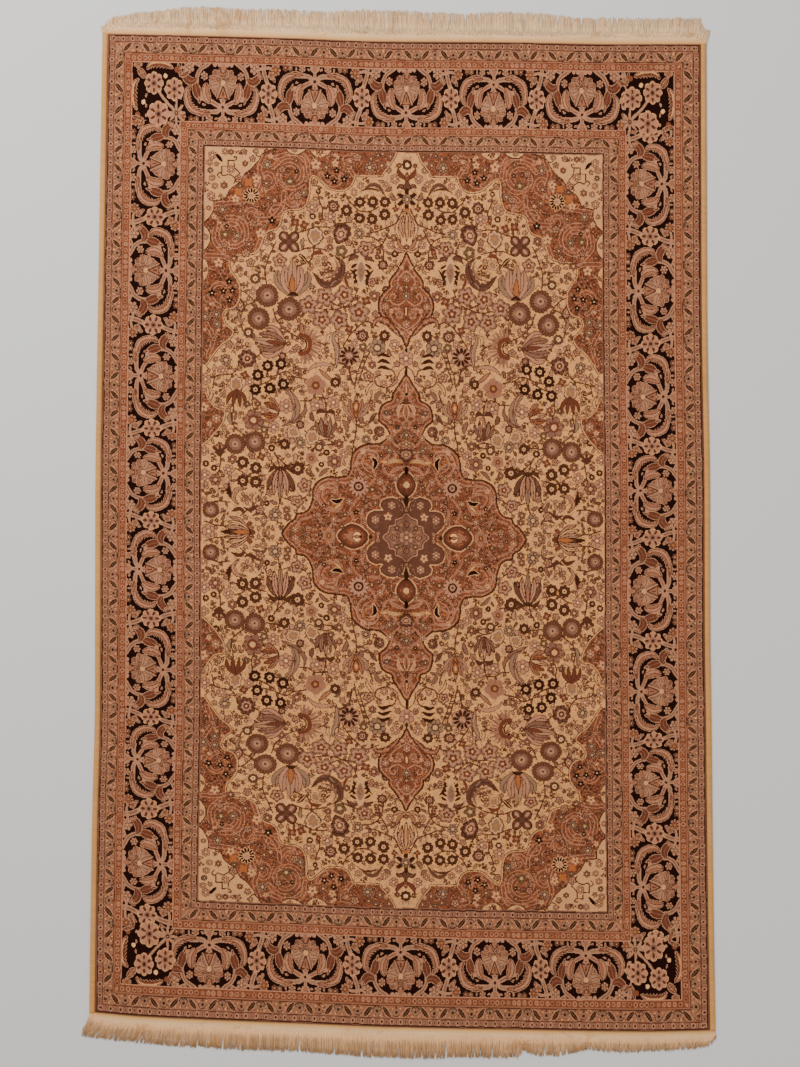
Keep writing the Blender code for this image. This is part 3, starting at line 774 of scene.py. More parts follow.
# The pendant, and the horned leaf it stands in
PENDANT = (
    (406.4, 251.5), (401.5, 261), (395.5, 271), (389, 280), (388, 287), (388, 287), (382, 293),
    (377.8, 301), (377.3, 309), (380.5, 317), (388, 323), (396, 331), (401.5, 338), (406.4, 348),
    (420, 348), (420, 251.5))
field.area(PENDANT, (0, "coffee"), (1.5, "rust"), (2.6, "pink"), (3.5, "rust"))
field.leaf([(372.8, 328.5), (376.5, 320.5), (387, 322), (400, 336.5)], 7, "coffee", "rust", rib="pink",
           blunt=0.6)
field.vines(
    ([(406, 300), (398, 305), (391, 302), (390, 296), (394, 294), (395.5, 297.5)], 1.2, "pink"),
    ([(406, 271), (400, 276), (397, 284), (402, 290)], 1.1, "pink"),
    ([(406, 330), (397, 324), (391, 316), (394, 309), (401, 309)], 1.1, "pink"))
field.flowers(
    (401.5, 267.5, 2.6, "star"), (AXIS, 279, 4.2, "pale"), (396.5, 287.5, 3, "leafy"),
    (AXIS, 296, 5, "grey"), (385, 307, 4.2, "pale"), (399.5, 315, 4.2, "peach"), (AXIS, 324, 4.6, "pale"),
    (391, 311, 2.6, "star"), (402, 333, 2.4, "star"))
field.leaf(on_axis(305, 311, 317), 4.2, "coffee", "cream")

# The corner piece: madder ground with coiling bands, round a cream corner
SPANDREL = (
    (190, 140), (381.2, 140), (381.2, 176.2), (381.2, 176.2), (353.8, 176.6), (353.8, 176.6), (350, 186),
    (344, 190.8), (337, 192), (328, 190.4), (321, 185), (312, 178), (308, 184), (307.4, 198), (304, 208),
    (297, 212.4), (286, 213.6), (280.5, 218), (278.5, 227), (274, 233), (266, 236), (262, 241), (259, 250),
    (254, 257), (243, 259.6), (231, 261.5), (227.4, 268), (228.5, 276), (233.4, 283), (238, 292),
    (238, 303), (233, 312.4), (223.5, 316), (221.4, 323), (225.5, 331), (231.5, 336.5), (228, 344.5),
    (219, 351.5), (211, 362), (203.4, 373), (190, 378))
field.area(SPANDREL, (-1.4, "slate"), (-0.6, "cream"), (0.4, "rust"))
field.area(((190, 380), (203.5, 397), (209, 407.5), (215.7, 414.2), (223.5, 416), (224.2, 423),
            (219.5, 433), (212.5, 441.5), (205.5, 448), (201, 451.5), (190, 452)),
           (-1.4, "slate"), (-0.6, "cream"), (0.4, "rust"))
field.area(((185, 380), (203.6, 371), (204, 385), (204.5, 399), (185, 399)), (0, "straw"))
field.flowers((216, 424.4, 5, "pale"), (207, 436, 3, "leafy"))


def coil(x, y, size, start, sweep, width, yarn, on):
    """A vine that winds inwards as it turns round a point."""
    points = []
    for k in range(13):
        angle = math.radians(start + sweep * k / 12)
        away = size * (1 - 0.62 * k / 12)
        points.append((x + away * math.cos(angle), y + away * math.sin(angle)))
    field.vine(points, width, yarn, on)


# A coiling band is two pale lines with madder between, and is drawn over bare ground and others
BAND_LINES = ((4.4, "pink"), (2.9, "rust"))
# Coils. Columns: x, y, size, first angle, sweep
COILS = (
    (288.5, 178, 19, 200, 560), (230, 239, 17, 250, 540), (264, 184, 9, 90, -330), (250, 220, 10, 0, 360),
    (292, 202, 8, 180, -330), (334, 176, 15, 180, -180), (220.5, 297, 15, 100, 200), (276, 215, 8, 40, 300))
for x, y, size, start, sweep in COILS:
    for width, yarn in BAND_LINES:
        coil(x, y, size, start, sweep, width, yarn, "rust pink")
# Bands through a few points each
BANDS = (
    ((262, 158), (257, 172), (260, 188), (252, 200), (236, 207), (212, 210)),
    ((307, 176), (303, 160), (288, 157), (272, 162)), ((282, 196), (280, 210), (270, 222), (258, 224)),
    ((204, 262), (220, 262), (238, 268), (251, 262), (258, 246)), ((236, 262), (246, 268), (256, 262)),
    ((214, 226), (212, 246), (222, 258)), ((352, 158), (343, 160), (348, 170), (352, 176)),
    ((205, 330), (212, 345), (207, 362)))
for points in BANDS:
    for width, yarn in BAND_LINES:
        field.vine(points, width, yarn, "rust pink")
# The cream corner itself, with its thin dark scroll
field.area(((190, 140), (277, 140), (277, 152), (268, 154.5), (260, 158.5), (256.5, 165), (249, 174),
            (243, 178.5), (238, 187), (228, 195), (222, 205), (212, 207.5), (211, 216), (204, 227),
            (190, 230)), (0, "coffee"), (0.9, "cream"))
field.vine([(217, 184), (214.5, 181), (217.5, 178.6), (220.5, 181.5), (226, 180), (232, 184), (231, 189)],
           1.1, "coffee", "cream")
field.vine([(218.7, 178), (218.7, 172), (218.7, 172), (225, 172), (225, 172), (225, 165.5), (225, 165.5),
            (232, 165.5), (234, 162.4), (231, 162.4)], 1.1, "coffee", "cream")
field.vines(
    ([(231, 167), (232, 173), (237, 178.5)], 1.1, "coffee", "cream"),
    ([(207, 206), (216, 207), (224, 204)], 1.1, "coffee", "cream"),
    ([(250, 156), (256, 161), (262, 157)], 1.1, "coffee", "cream"))
field.leaf([(212, 159), (215.5, 163), (219.5, 167.5)], 3.6, None, "black")
field.flowers(
    (228, 175, 4.6, "pale"), (236, 184, 4.8, "leafy"), (242.5, 168.5, 3.4, "rust"), (221, 191, 4, "rust"),
    (250, 163.5, 3.8, "leafy"), (208.5, 202, 4.6, "pale"), (253, 156, 3.2, "pale"), (209, 161, 4.6, "pale"),
    (228, 157.5, 3.4, "rust"), (241, 157, 3.6, "leafy"), (212, 192, 3.6, "pale"), (207, 176, 3.4, "grey"),
    (213, 170, 3, "leafy"), (206, 214, 3, "pale"), (264, 155, 3, "heart"))
# Its flowers on the madder
for x, y, size in ((337, 159.5, 3.6), (335, 172, 4), (325.6, 178, 4), (342.7, 180.5, 4),
                   (333, 183, 4), (227, 287, 4), (221.5, 297, 4), (231, 296, 4), (228, 306, 4),
                   (210, 299, 4.4), (270, 225, 4.6), (294, 175, 3), (224, 232, 3)):
    field.flower(x, y, size, "inkstar")
field.flowers(
    (314, 167, 5.4, "star"), (216.6, 268.7, 5.2, "star"), (254, 183.6, 4.8, "star"),
    (233, 204, 4.6, "star"), (264.7, 169, 5.4, "grey"), (220, 215, 5.2, "grey"), (215, 320, 4.6, "grey"),
    (215.5, 330, 4.6, "grey"), (368.5, 168, 5.8, "grey"), (376.5, 156, 3.4, "grey"),
    (357.6, 167, 3, "heart"), (356, 158.5, 5.4, "leafy"), (288, 185, 5.4, "green"),
    (280, 173, 4.4, "leafy"), (264, 188, 4.8, "rust"), (294, 164, 3.4, "rust"), (266, 202, 4.6, "rust"),
    (296, 199, 5, "leafy"), (238, 217, 4.6, "rust"), (211, 229, 3.4, "heart"), (223, 240, 4.8, "green"),
    (235, 241, 4.6, "grey"), (250, 228, 4.8, "leafy"), (247, 249, 4.6, "rust"), (232, 264, 5, "rust"),
    (244, 258, 5, "leafy"), (222, 251, 3.8, "leafy"), (213, 345, 3.6, "leafy"), (206, 352, 3, "rust"),
    (222, 338, 3, "rust"), (336, 159, 2.6, "star"), (346, 166, 2.8, "leafy"), (304, 184, 3, "leafy"),
    (302, 196, 4.4, "grey"), (210, 282, 3.4, "heart"))
for x, y in ((246, 187), (236, 197)):
    field.petals(x, y, 0, 4.6, 3.6, 4, "orange", turn=45)
field.petals(249, 200.4, 2.2, 8.8, 3.4, 13, "cream")
field.petals(249, 200.4, 3.2, 8.2, 1.9, 13, "black")
field.disc(249, 200.4, 2.2, "pink")
# Cream half-boats that cut into its straight sides
field.area(((281, 145), (282, 152), (287, 157), (294, 158.6), (301, 156), (306, 151), (306, 145)),
           (0, "coffee"), (1, "cream"))
field.area(((308, 145), (308, 154), (317, 160.5), (328, 155), (329, 145)), (0, "slate"), (0.7, "straw"))
field.area(((195, 229), (203, 232), (208, 240), (208, 248), (203, 256), (195, 260)),
           (0, "coffee"), (1, "cream"))
field.area(((195, 264), (204, 266), (207, 276), (204, 285), (195, 290)), (0, "slate"), (0.7, "straw"))
field.flowers((292, 153, 3.4, "pale"), (203, 243, 3.6, "pale"))

# The medallion: madder ground in a lobed outline. Its edge is given out from its middle.
# Columns: squares to the side, squares up
MEDALLION_EDGE = (
    (0, 162.5), (7, 152), (13, 143.5), (14.5, 137), (22.5, 133), (26, 127), (27, 117), (21.5, 112),
    (18, 107), (17, 101.5), (22, 97), (28, 93.4), (39, 92.5), (47, 89), (53, 83), (55.5, 75), (56, 67),
    (60, 60), (67, 58.6), (78, 58), (87, 54), (91.5, 49), (93.4, 42), (93.8, 35), (97, 26), (102, 21.5),
    (109, 20), (111, 15), (117, 10.5), (124, 0))


def up_left(points):
    """Points of the medallion's top left quarter, from its middle."""
    return [(AXIS - side, WAIST - up) for side, up in points]


field.area(up_left(MEDALLION_EDGE + ((124, -14), (-14, -14), (-14, 162.5))),
           (-1, "coffee"), (0.5, "rust"), (1.7, "pink"), (2.4, "rust"))
# Thin scrolls on the madder
SCROLLS = (
    ((8, 150), (3, 140), (10, 132), (20, 128), (22, 120), (12, 117), (5, 124)),
    ((5, 110), (14, 100), (10, 92), (3, 96)), ((20, 90), (30, 86), (42, 85), (49, 76), (47, 66), (38, 60)),
    ((52, 70), (44, 74), (36, 70), (31, 62), (34, 54), (42, 52)),
    ((60, 53), (74, 52), (85, 46), (87, 36), (80, 27), (70, 24)),
    ((84, 40), (77, 44), (68, 41), (64, 33), (68, 26), (76, 28)), ((95, 18), (105, 14), (112, 4)),
    ((92, 20), (86, 14), (92, 6), (100, 4)), ((58, 22), (64, 16), (72, 14), (78, 6)),
    ((40, 44), (50, 36), (56, 26), (52, 16)), ((18, 82), (24, 74), (20, 64), (12, 62)),
    ((26, 58), (22, 48), (28, 40), (38, 40)), ((36, 34), (44, 26), (42, 18)), ((14, 78), (8, 84), (3, 80)))
for points in SCROLLS:
    field.vine(up_left(points), 1.9, "pink", "rust")
    field.vine(up_left(points), 0.7, "rust", "pink")
# Half-moon lobes, their crescents and the daisy between them
for middle, size, dark in ((up_left([(35, 76.4)])[0], 18.4, up_left([(36, 80), (31, 75), (33, 66)])),
                           (up_left([(75.3, 42)])[0], 17.2, up_left([(76, 36), (69, 34), (62, 38)]))):
    for share in (1, 0.62):
        coil(middle[0], middle[1], size * share, 100, 250, 0.9, "pink", "rust")
    field.leaf(dark, 5.4, "cream", "black")
field.leaves(
    (up_left([(27, 76), (22, 75), (14, 74)]), 3.6, "gold", "cream"),
    (up_left([(73, 26), (68, 30), (64, 34)]), 3.2, "gold", "cream"))
field.petals(358.6, 487.6, 3, 11, 4.4, 13, "brown")
field.petals(358.6, 487.6, 3, 10.4, 3, 13, "pink")
field.rings(358.6, 487.6, (5, "coffee"), (3, "blush"), (1.4, "brick"))
# The chain of blossoms up its axis
field.leaf(on_axis(383, 389, 397), 7, "pink", "rust", "cream")
field.disc(AXIS, 394, 1.5, "black")
field.leaves(
    ([(404, 404), (399, 408), (398, 416)], 3.8, "cream", "pink"),
    (on_axis(404, 411, 420), 6.4, "cream", "salmon", "brick"))
field.flowers((AXIS, 424.5, 5, "peach"), (AXIS, 434.5, 5, "grey"), (AXIS, 444, 5.2, "pale"))
field.palmette((AXIS, 462), (AXIS, 448), 18, FAN["plum"], lobes=9)
field.leaves(
    ([(404, 463), (394, 461), (384, 465)], 4.4, "gold", "cream", "rose"),
    ([(404, 467), (396, 469), (389, 474)], 3.4, "pink", "rose"))
field.flowers(
    (397, 427, 3, "inkstar"), (386.5, 413, 3.4, "grey"), (393, 410, 2.4, "pale"), (390, 438, 4, "pale"),
    (398, 452, 3, "leafy"))
for points in (up_left([(-10, 66), (0, 66.5), (7, 61), (10.5, 53), (7, 45), (0, 39.5), (-10, 39.5)]),
               up_left([(38, 0), (42, 8), (51, 12.5), (60, 11), (69, 0), (60, -11), (51, -12.5)])):
    field.area(points, (-0.8, "cream"), (0.4, "brown"), (2.4, "brick"), (4.6, "rust"), (7.4, "salmon"))
field.leaves((on_axis(466, 470, 475), 4.4, None, "black"), (on_axis(494, 499, 506), 5.4, None, "coffee"))
field.disc(AXIS, 484.5, 3, "ivory")
field.leaf([(352, WAIST), (357, 534), (362, WAIST)], 4.4, "brick", "ivory")
field.disc(360.5, WAIST, 1.6, "coffee")
field.disc(370.5, WAIST, 2, "coffee")
# A brown scalloped ring round its middle, a blossom in each scallop
field.area(up_left([(-14, 40.5), (0, 29), (4, 36), (14, 40.5), (24, 37), (26.4, 31), (24, 27), (31, 27),
                    (37.4, 24), (39.8, 17), (38, 10), (33, 6), (28, 0), (28, -14), (-14, -14)]),
           (-0.6, "cream"), (0.5, "brown"), (1.4, "mauve"))
for x, y in ((391.7, 505.3), (375.4, 520)):
    field.flower(x, y, 4.6, "pale")
field.flowers(
    (387.9, 516.8, 4.4, "star"), (AXIS, 510, 3.4, "leafy"), (378, 534, 3.2, "leafy"),
    (399.5, 500, 2.2, "grey"))
# The stepped star in its very middle
field.area(up_left([(-12, 23.6), (0, 23.6), (4, 20), (10.5, 17.5), (11, 17.5), (11.5, 12), (16.6, 11),
                    (16.6, 11), (18, 5), (22.8, 0), (22.8, -12), (-12, -12)]),
           (-0.7, "pink"), (0.4, "brown"), (1.2, "rose"))
for ring, yarn in ((15, "gold"), (11, "walnut")):
    field.petals(AXIS, WAIST, ring - 3, ring, 1.6, 16, yarn)
field.flowers(
    (AXIS, WAIST, 8, "pale"), (AXIS, 524, 3.6, "leafy"), (393.5, WAIST, 3.6, "leafy"),
    (396.6, 528, 3.2, "green"))
field.flowers(
    (380, 432, 4.4, "rust"), (329, 536.8, 6.4, "peach"), (308.5, 531, 4.4, "leafy"),
    (295.5, 533, 4.2, "pale"), (306, 539, 4, "grey"), (318, 528, 3.6, "rust"), (345, 516, 3.4, "green"),
    (356, 513, 3.4, "inkstar"), (334, 521, 3.6, "pale"), (318, 517, 3.4, "leafy"),
    (324, 508, 3, "inkstar"), (349, 449.5, 3.2, "pale"), (363, 452, 3.2, "star"),
    (382, 447, 3.6, "leafy"), (381, 455, 2.6, "inkstar"), (372, 490, 3.6, "green"), (380, 482, 4.2, "pale"),
    (384, 494, 3, "leafy"), (345, 474, 4.2, "leafy"), (337, 482, 2.8, "pale"), (349, 503, 3.8, "pale"),
    (366, 507, 3.2, "leafy"), (322, 490, 3, "star"), (366, 478, 3, "pale"), (396, 478, 3.2, "pale"),
    (389, 487, 2.6, "grey"), (342, 528, 3, "grey"), (365, 523, 3, "pale"), (398, 400, 2.8, "leafy"),
    (390, 422, 3, "leafy"))

# Sprays, buds and small leaves fill the ground that is left, as they do all over such a field
sower = random.Random(41)
# For each ground: stems, leaf edges, leaf bodies, blossoms
SEEDS = {
    "straw": ("brown", "brown", ("rose", "blush", "walnut", "blush", "rose"),
              ("leafy", "pale", "rust", "pale")),
    "rust": ("blush", "brown", ("salmon", "rose", "brick", "grey", "coffee", "orange"),
             ("rust", "grey", "star", "leafy", "rust")),
    "black": ("blush", "blush", ("rose", "brick", "rust"), ("pale", "rust")),
    "cream": ("walnut", "walnut", ("pink", "blush", "grey"), ("pale", "leafy", "pale")),
}


def sow(chart, ground, tries, room, kinds):
    """Put small filling motifs wherever there is room for them on bare ground."""
    stem, edge, bodies, blossoms = SEEDS[ground]
    dye = DYES.index(ground)
    chart.free = chart.dye == dye
    for _ in range(tries):
        x = sower.uniform(chart.x[0] + 1, chart.x[-1] - 1)
        y = sower.uniform(chart.y[0] + 1, chart.y[-1] - 1)
        lean, kind = sower.uniform(0, 2 * math.pi), sower.choice(kinds)
        where, a, b = next(chart.near(x, y, room + 1))
        if not chart.free[where][np.hypot(a, b) < room * 0.62].all():
            continue
        dx, dy = room * 0.9 * math.cos(lean), room * 0.9 * math.sin(lean)
        if kind == "leaf":
            chart.leaf([(x - dx, y - dy), (x + dy / 4, y - dx / 4), (x + dx, y + dy)], room * 0.9, edge,
                       sower.choice(bodies))
        elif kind == "bud":
            chart.vine([(x - dx, y - dy), (x, y)], 0.8, stem)
            chart.flower(x + dx / 4, y + dy / 4, room * 0.66, sower.choice(blossoms))
        elif kind == "spray":
            route = [(x - dx, y - dy), (x + dy / 3, y - dx / 3), (x + dx, y + dy)]
            chart.vine(route, 0.7, stem)
            for share, side in ((-0.55, 1), (-0.2, -1), (0.15, 1), (0.45, -1)):
                foot_x, foot_y = x + dx * share + dy * 0.24, y + dy * share - dx * 0.24
                tip_x, tip_y = dx * 0.25 - dy * side * 0.62, dy * 0.25 + dx * side * 0.62
                chart.leaf([(foot_x, foot_y), (foot_x + tip_x / 2, foot_y + tip_y / 2),
                            (foot_x + tip_x, foot_y + tip_y)], room * 0.42, edge, sower.choice(bodies))
            chart.flower(x + dx * 0.75, y + dy * 0.75, room * 0.34, sower.choice(blossoms))
        else:
            chart.flower(x, y, room * 0.86, sower.choice(blossoms))
        chart.free[where] &= chart.dye[where] == dye
    chart.free[:] = True


for room, tries in ((9.0, 1200), (7.4, 2400)):
    sow(field, "straw", tries, room, ("spray", "spray", "flower"))
for room, tries in ((6.0, 3000), (4.8, 4000)):
    sow(field, "straw", tries, room, ("spray", "spray", "flower", "flower", "leaf"))
sow(field, "straw", 6000, 3.6, ("leaf", "bud", "flower"))
for room, tries in ((6.0, 2000), (4.8, 3500), (3.6, 5000)):
    sow(field, "rust", tries, room, ("spray", "spray", "spray", "flower"))
sow(field, "rust", 9000, 2.4, ("leaf", "flower", "leaf"))
sow(field, "cream", 4000, 4.4, ("spray", "flower"))
for sheet in (border, corner):
    sow(sheet, "black", 24, 2.2, ("bud", "leaf", "leaf"))


def curl(chart, ground, count, yarns):
    """Short curled lines, a knot or two wide, over the bare ground that is left."""
    for _ in range(count):
        x = sower.uniform(chart.x[0], chart.x[-1])
        y = sower.uniform(chart.y[0], chart.y[-1])
        lean, bend, long = sower.uniform(0, 2 * math.pi), sower.uniform(-1.2, 1.2), sower.uniform(1.2, 3.4)
        dx, dy = long * math.cos(lean), long * math.sin(lean)
        chart.vine([(x - dx, y - dy), (x + dy * bend, y - dx * bend), (x + dx, y + dy)],
                   sower.uniform(0.6, 0.9), sower.choice(yarns), ground)


curl(field, "rust", 9000, ("salmon", "pink", "brown", "brick", "orange", "brick", "walnut"))
curl(field, "straw", 5000, ("pink", "blush", "gold", "cream", "rose", "pink"))
curl(field, "mauve", 2400, ("rose", "walnut", "brick"))
curl(field, "rose", 1200, ("gold", "brown", "salmon"))

# ---- Tying the knots ----
# Each knot is one yarn, read from the charts at its place. The weaver's beat is closer at the
# foot, so the chart's lower half is pressed together there, and threads wander a little.
KNOTS_ACROSS = 960
KNOTS_ALONG = 1568
# Squares from the middle of the medallion to the pile's left, right, head and foot edges
REACH = {"left": 304.9, "right": 297.5, "head": 495.9, "foot": 489.4}
# Columns: squares from the middle on the loom, squares on the chart
LOOM_LEFT = ((0, 0), (304.9, 304.9))
LOOM_RIGHT = ((0, 0), (197.4, 204.7), (221.7, 230.3), (270.0, 279.3), (297.5, 304.9))
LOOM_HEAD = ((0, 0), (384.4, 384.4), (409.8, 410), (467.8, 459), (495.9, 484.6))
LOOM_FOOT = ((0, 0), (190, 190), (272, 284), (369.6, 384.4), (399.6, 410), (457.4, 459),
             (489.4, 484.6))
# Where the main border's palmettes and rosettes fall by turns, in squares down or across from
# the medallion's middle
LEFT_STATIONS = (-366.4, -312.9, -259.4, -204.4, -153.4, -100.4, -56.4, -8.4, 40.6, 89.6, 140.6, 188.6,
                 237.7, 292.8, 349.4)
RIGHT_STATIONS = (-356.2, -304.0, -249.3, -196.5, -143.6, -94.3, -50.3, -3.7, 49.9, 99.7, 150.0, 199.9,
                  248.4, 304.2, 359.4)
HEAD_STATIONS = (-187.3, -141.3, -94.3, -46.3, -1.3, 46.1, 90.4, 135.7, 183.2)
FOOT_STATIONS = (-193.4, -146.6, -98.8, -52.8, -5.3, 43.7, 90.4, 137.6, 183.2)
WANDER = 0.35                 # squares that the threads stray
WANDER_RUN = 14               # knots from one such bend to the next

tying = np.random.default_rng(7)


def to_chart(rows, away):
    on_loom, on_chart = np.array(rows, float).T
    return np.interp(away, on_loom, on_chart)


def drift(rows, columns, coarse, seed):
    """Soft noise from -1 to 1 over the knots, about coarse knots from hill to hill."""
    dice = np.random.default_rng(seed)
    grid = dice.uniform(-1, 1, (rows // coarse + 3, columns // coarse + 3))
    r, c = np.arange(rows) / coarse, np.arange(columns) / coarse
    r0, c0 = r.astype(int), c.astype(int)
    fr, fc = r - r0, c - c0
    fr, fc = (fr * fr * (3 - 2 * fr))[:, None], (fc * fc * (3 - 2 * fc))[None]
    top = grid[r0][:, c0] * (1 - fc) + grid[r0][:, c0 + 1] * fc
    low = grid[r0 + 1][:, c0] * (1 - fc) + grid[r0 + 1][:, c0 + 1] * fc
    return top * (1 - fr) + low * fr


def read(chart, x, y):
    """The yarn that a chart shows at each place."""
    c = np.clip(((x - chart.x[0]) * SAMPLES).round().astype(int), 0, len(chart.x) - 1)
    r = np.clip(((y - chart.y[0]) * SAMPLES).round().astype(int), 0, len(chart.y) - 1)
    return chart.dye[r, c]


def border_run(stations, place):
    """Squares of the border's design before each place, counted from its first palmette."""
    marks = HALF_REPEAT * np.arange(len(stations))
    run = np.interp(place, stations, marks)
    run = np.where(place < stations[0], place - stations[0], run)
    return np.where(place > stations[-1], marks[-1] + place - stations[-1], run)


def tie_knots():
    """The yarn of every knot, row by row from the head."""
    column = (np.arange(KNOTS_ACROSS) + 0.5) / KNOTS_ACROSS
    row = (np.arange(KNOTS_ALONG) + 0.5) / KNOTS_ALONG
    u = (column * (REACH["left"] + REACH["right"]) - REACH["left"])[None]
    v = (REACH["head"] - row * (REACH["head"] + REACH["foot"]))[:, None]
    u = u + WANDER * drift(KNOTS_ALONG, KNOTS_ACROSS, WANDER_RUN, 1)
    v = v + WANDER * drift(KNOTS_ALONG, KNOTS_ACROSS, WANDER_RUN, 2)
    u = np.where(u < 0, -to_chart(LOOM_LEFT, -u), to_chart(LOOM_RIGHT, u))
    v = np.where(v > 0, to_chart(LOOM_HEAD, v), -to_chart(LOOM_FOOT, -v))

    yarn = read(field, AXIS - np.abs(u), WAIST - np.abs(v))
    beyond_side = np.abs(u) - (AXIS - FIELD[0])
    beyond_end = np.abs(v) - (WAIST - FIELD[1])
    out = np.maximum(beyond_side, beyond_end)
    at_side = beyond_side > beyond_end
    along = np.where(at_side, v, u)

    inner, outer = GUARD_DEPTH, GUARD_DEPTH + 2 * BORDER_HALF
    stripe = read(guard, along % GUARD_REPEAT, np.where(out < inner, inner - out, out - outer))
    yarn = np.where((out > 0), stripe, yarn)

    run = np.where(at_side,
                   np.where(u < 0, border_run(LEFT_STATIONS, -v), border_run(RIGHT_STATIONS, -v)),
                   np.where(v > 0, border_run(HEAD_STATIONS, u), border_run(FOOT_STATIONS, u)))
    half = np.floor(run / HALF_REPEAT).astype(int)
    p = run - half * HALF_REPEAT
    p = np.where(half % 2 == 0, p, HALF_REPEAT - p)
    stem_inside = ((half + 1) // 2) % 2 == np.where(at_side, 1, 0)
    q = out - inner - BORDER_HALF
    unit = read(border, p, np.where(stem_inside, q, -q))
    in_border = (out > inner) & (out < outer)
    yarn = np.where(in_border, unit, yarn)

    corner_x, corner_y = beyond_side - inner, beyond_end - inner
    near_corner = in_border & (corner_x > -CORNER_LAP) & (corner_y > -CORNER_LAP)
    turn = read(corner, corner_x, corner_y)
    return np.where(near_corner & (turn != DYES.index("bare")), turn, yarn)


knots = tie_knots()

# Painted shade in the crease of the old fold down the middle, in squares: its place, and how wide and how
# long it is
FOLD_PLACE = -0.6
FOLD_WIDE = 4.5
FOLD_LONG = 120.0
FOLD_SHADE = 0.34              # how much it darkens the wool
# How uneven the dyed wool is from knot to knot, in bands of rows, in patches, and in its warmth
MOTTLE, BANDING, PATCHES, WARMTH = 0.10, 0.05, 0.04, 0.035


def dye_lots():
    """The colour of every knot: its yarn, with the unevenness of dyeing and wear, and painted shade along the
    old fold.
    """
    colour = np.array(list(YARNS.values()))[knots]
    tone = 1 + MOTTLE * tying.normal(size=knots.shape).clip(-2, 2)
    tone = tone * (1 + BANDING * drift(KNOTS_ALONG, 1, 22, 3)) * (1 + PATCHES * drift(*knots.shape, 120, 4))
    from_fold = np.linspace(-REACH["left"], REACH["right"], KNOTS_ACROSS) - FOLD_PLACE
    from_middle = np.linspace(REACH["head"], -REACH["foot"], KNOTS_ALONG)
    # Painted shade: the wool is darkened along the crease of the old fold
    fold_shade = np.exp(-(from_middle / FOLD_LONG) ** 4)[:, None] * np.exp(-(from_fold / FOLD_WIDE) ** 2)
    tone = tone * (1 - FOLD_SHADE * fold_shade)
    warmth = 1 + WARMTH * tying.normal(size=knots.shape).clip(-2, 2)
    colour = colour * tone[..., None]
    colour[..., 2] /= warmth
    return colour.astype(np.float32)


knot_colour = dye_lots()

# ---- The knotted pile ----
# Wool knots clipped level, 8 mm with the foundation, rounded at the rim and soft along the old
# fold. It is one cloth, made in lengthwise strips that meet edge to edge. A face holds 2 x 2 knots.

STRIPS = 5
FACES_ACROSS = KNOTS_ACROSS // 2
FACES_ALONG = KNOTS_ALONG // 2
CREASE_X = 0.006              # the crease where the rug was folded down its length
CREASE_DEPTH = 0.0010
CREASE_WIDTH = 0.012
PILE_WAVE = 0.0003            # how far the clipped surface rises and falls
LEVEL_RIM = 0.03              # how wide a rim stays level beside that
TURN = 2 * math.pi
WIDTH = RIGHT_LINE[-1][1] - LEFT_LINE[-1][1]
LENGTH = HEAD_LINE[0][1] - FOOT_LINE[0][1]


class Value:
    """An output of a shader node. Arithmetic on it adds Math nodes."""

    def __init__(self, tree, output):
        self.tree, self.output = tree, output

    def node(self, kind, settings, sockets, result=0):
        """Any other node: its type, its settings, then its sockets' values or links."""
        made = self.tree.nodes.new(kind)
        for name, setting in settings.items():
            setattr(made, name, setting)
        for name, value in sockets.items():
            if isinstance(value, Value):
                self.tree.links.new(value.output, made.inputs[name])
            else:
                made.inputs[name].default_value = value
        return Value(self.tree, made.outputs[result])

    def math(self, operation, *others):
        return self.node("ShaderNodeMath", {"operation": operation},
                         dict(enumerate((self, *others))))

    def __add__(self, other):
        return self.math("ADD", other)

    def __sub__(self, other):
        return self.math("SUBTRACT", other)

    def __rsub__(self, other):
        return self.math("MULTIPLY", -1.0) + other

    def __mul__(self, other):
        return self.math("MULTIPLY", other)

    def __gt__(self, other):
        return self.math("GREATER_THAN", other)

    __radd__, __rmul__ = __add__, __mul__

    def blend(self, first, second):
        """first where this value is 0, second where it is 1."""
        return self.node("ShaderNodeMix", {"data_type": "RGBA"}, {0: self, 6: first, 7: second}, 2)

    def clamp(self, top=1.0):
        """This value, kept between 0 and top."""
        return self.math("MINIMUM", top).math("MAXIMUM", 0.0)

    def axis(self, number):
        """One axis of a place: 0, 1 or 2."""
        return self.node("ShaderNodeSeparateXYZ", {}, {0: self}, number)

    def noise(self, scale, detail=2.0):
        """Soft noise over a place."""
        return self.node("ShaderNodeTexNoise", {}, {"Vector": self, "Scale": scale, "Detail": detail})

    def throw(self):
        """A share thrown anew for each value of this."""
        return self.node("ShaderNodeTexWhiteNoise", {"noise_dimensions": "1D"}, {"W": self})


def new_finish(name, roughness, sheen):
    """A yarn's material and shader, its Object coordinates, and its share along the loom's map."""
    material = bpy.data.materials.new(name)
    material.use_nodes = True
    tree = material.node_tree
    shader = tree.nodes["Principled BSDF"]
    shader.inputs["Roughness"].default_value = roughness
    shader.inputs["Sheen Weight"].default_value = sheen
    shader.inputs["Sheen Roughness"].default_value = 0.5
    shader.inputs["Specular IOR Level"].default_value = 0.08
    here = Value(tree, tree.nodes.new("ShaderNodeTexCoord").outputs["Object"])
    return material, shader, here, here.node("ShaderNodeUVMap", {"uv_map": "loom"}, {})


def colour_and_bumps(shader, colour, height, distance, strength):
    """Give the shader its colour, and let a height roughen it: its full scale is distance metres."""
    bump = height.node("ShaderNodeBump", {}, {"Height": height, "Distance": distance,
                                              "Strength": strength})
    height.tree.links.new(colour.output, shader.inputs["Base Color"])
    height.tree.links.new(bump.output, shader.inputs["Normal"])


KNOT_LAYERS = ("knot_1", "knot_2", "knot_3", "knot_4")


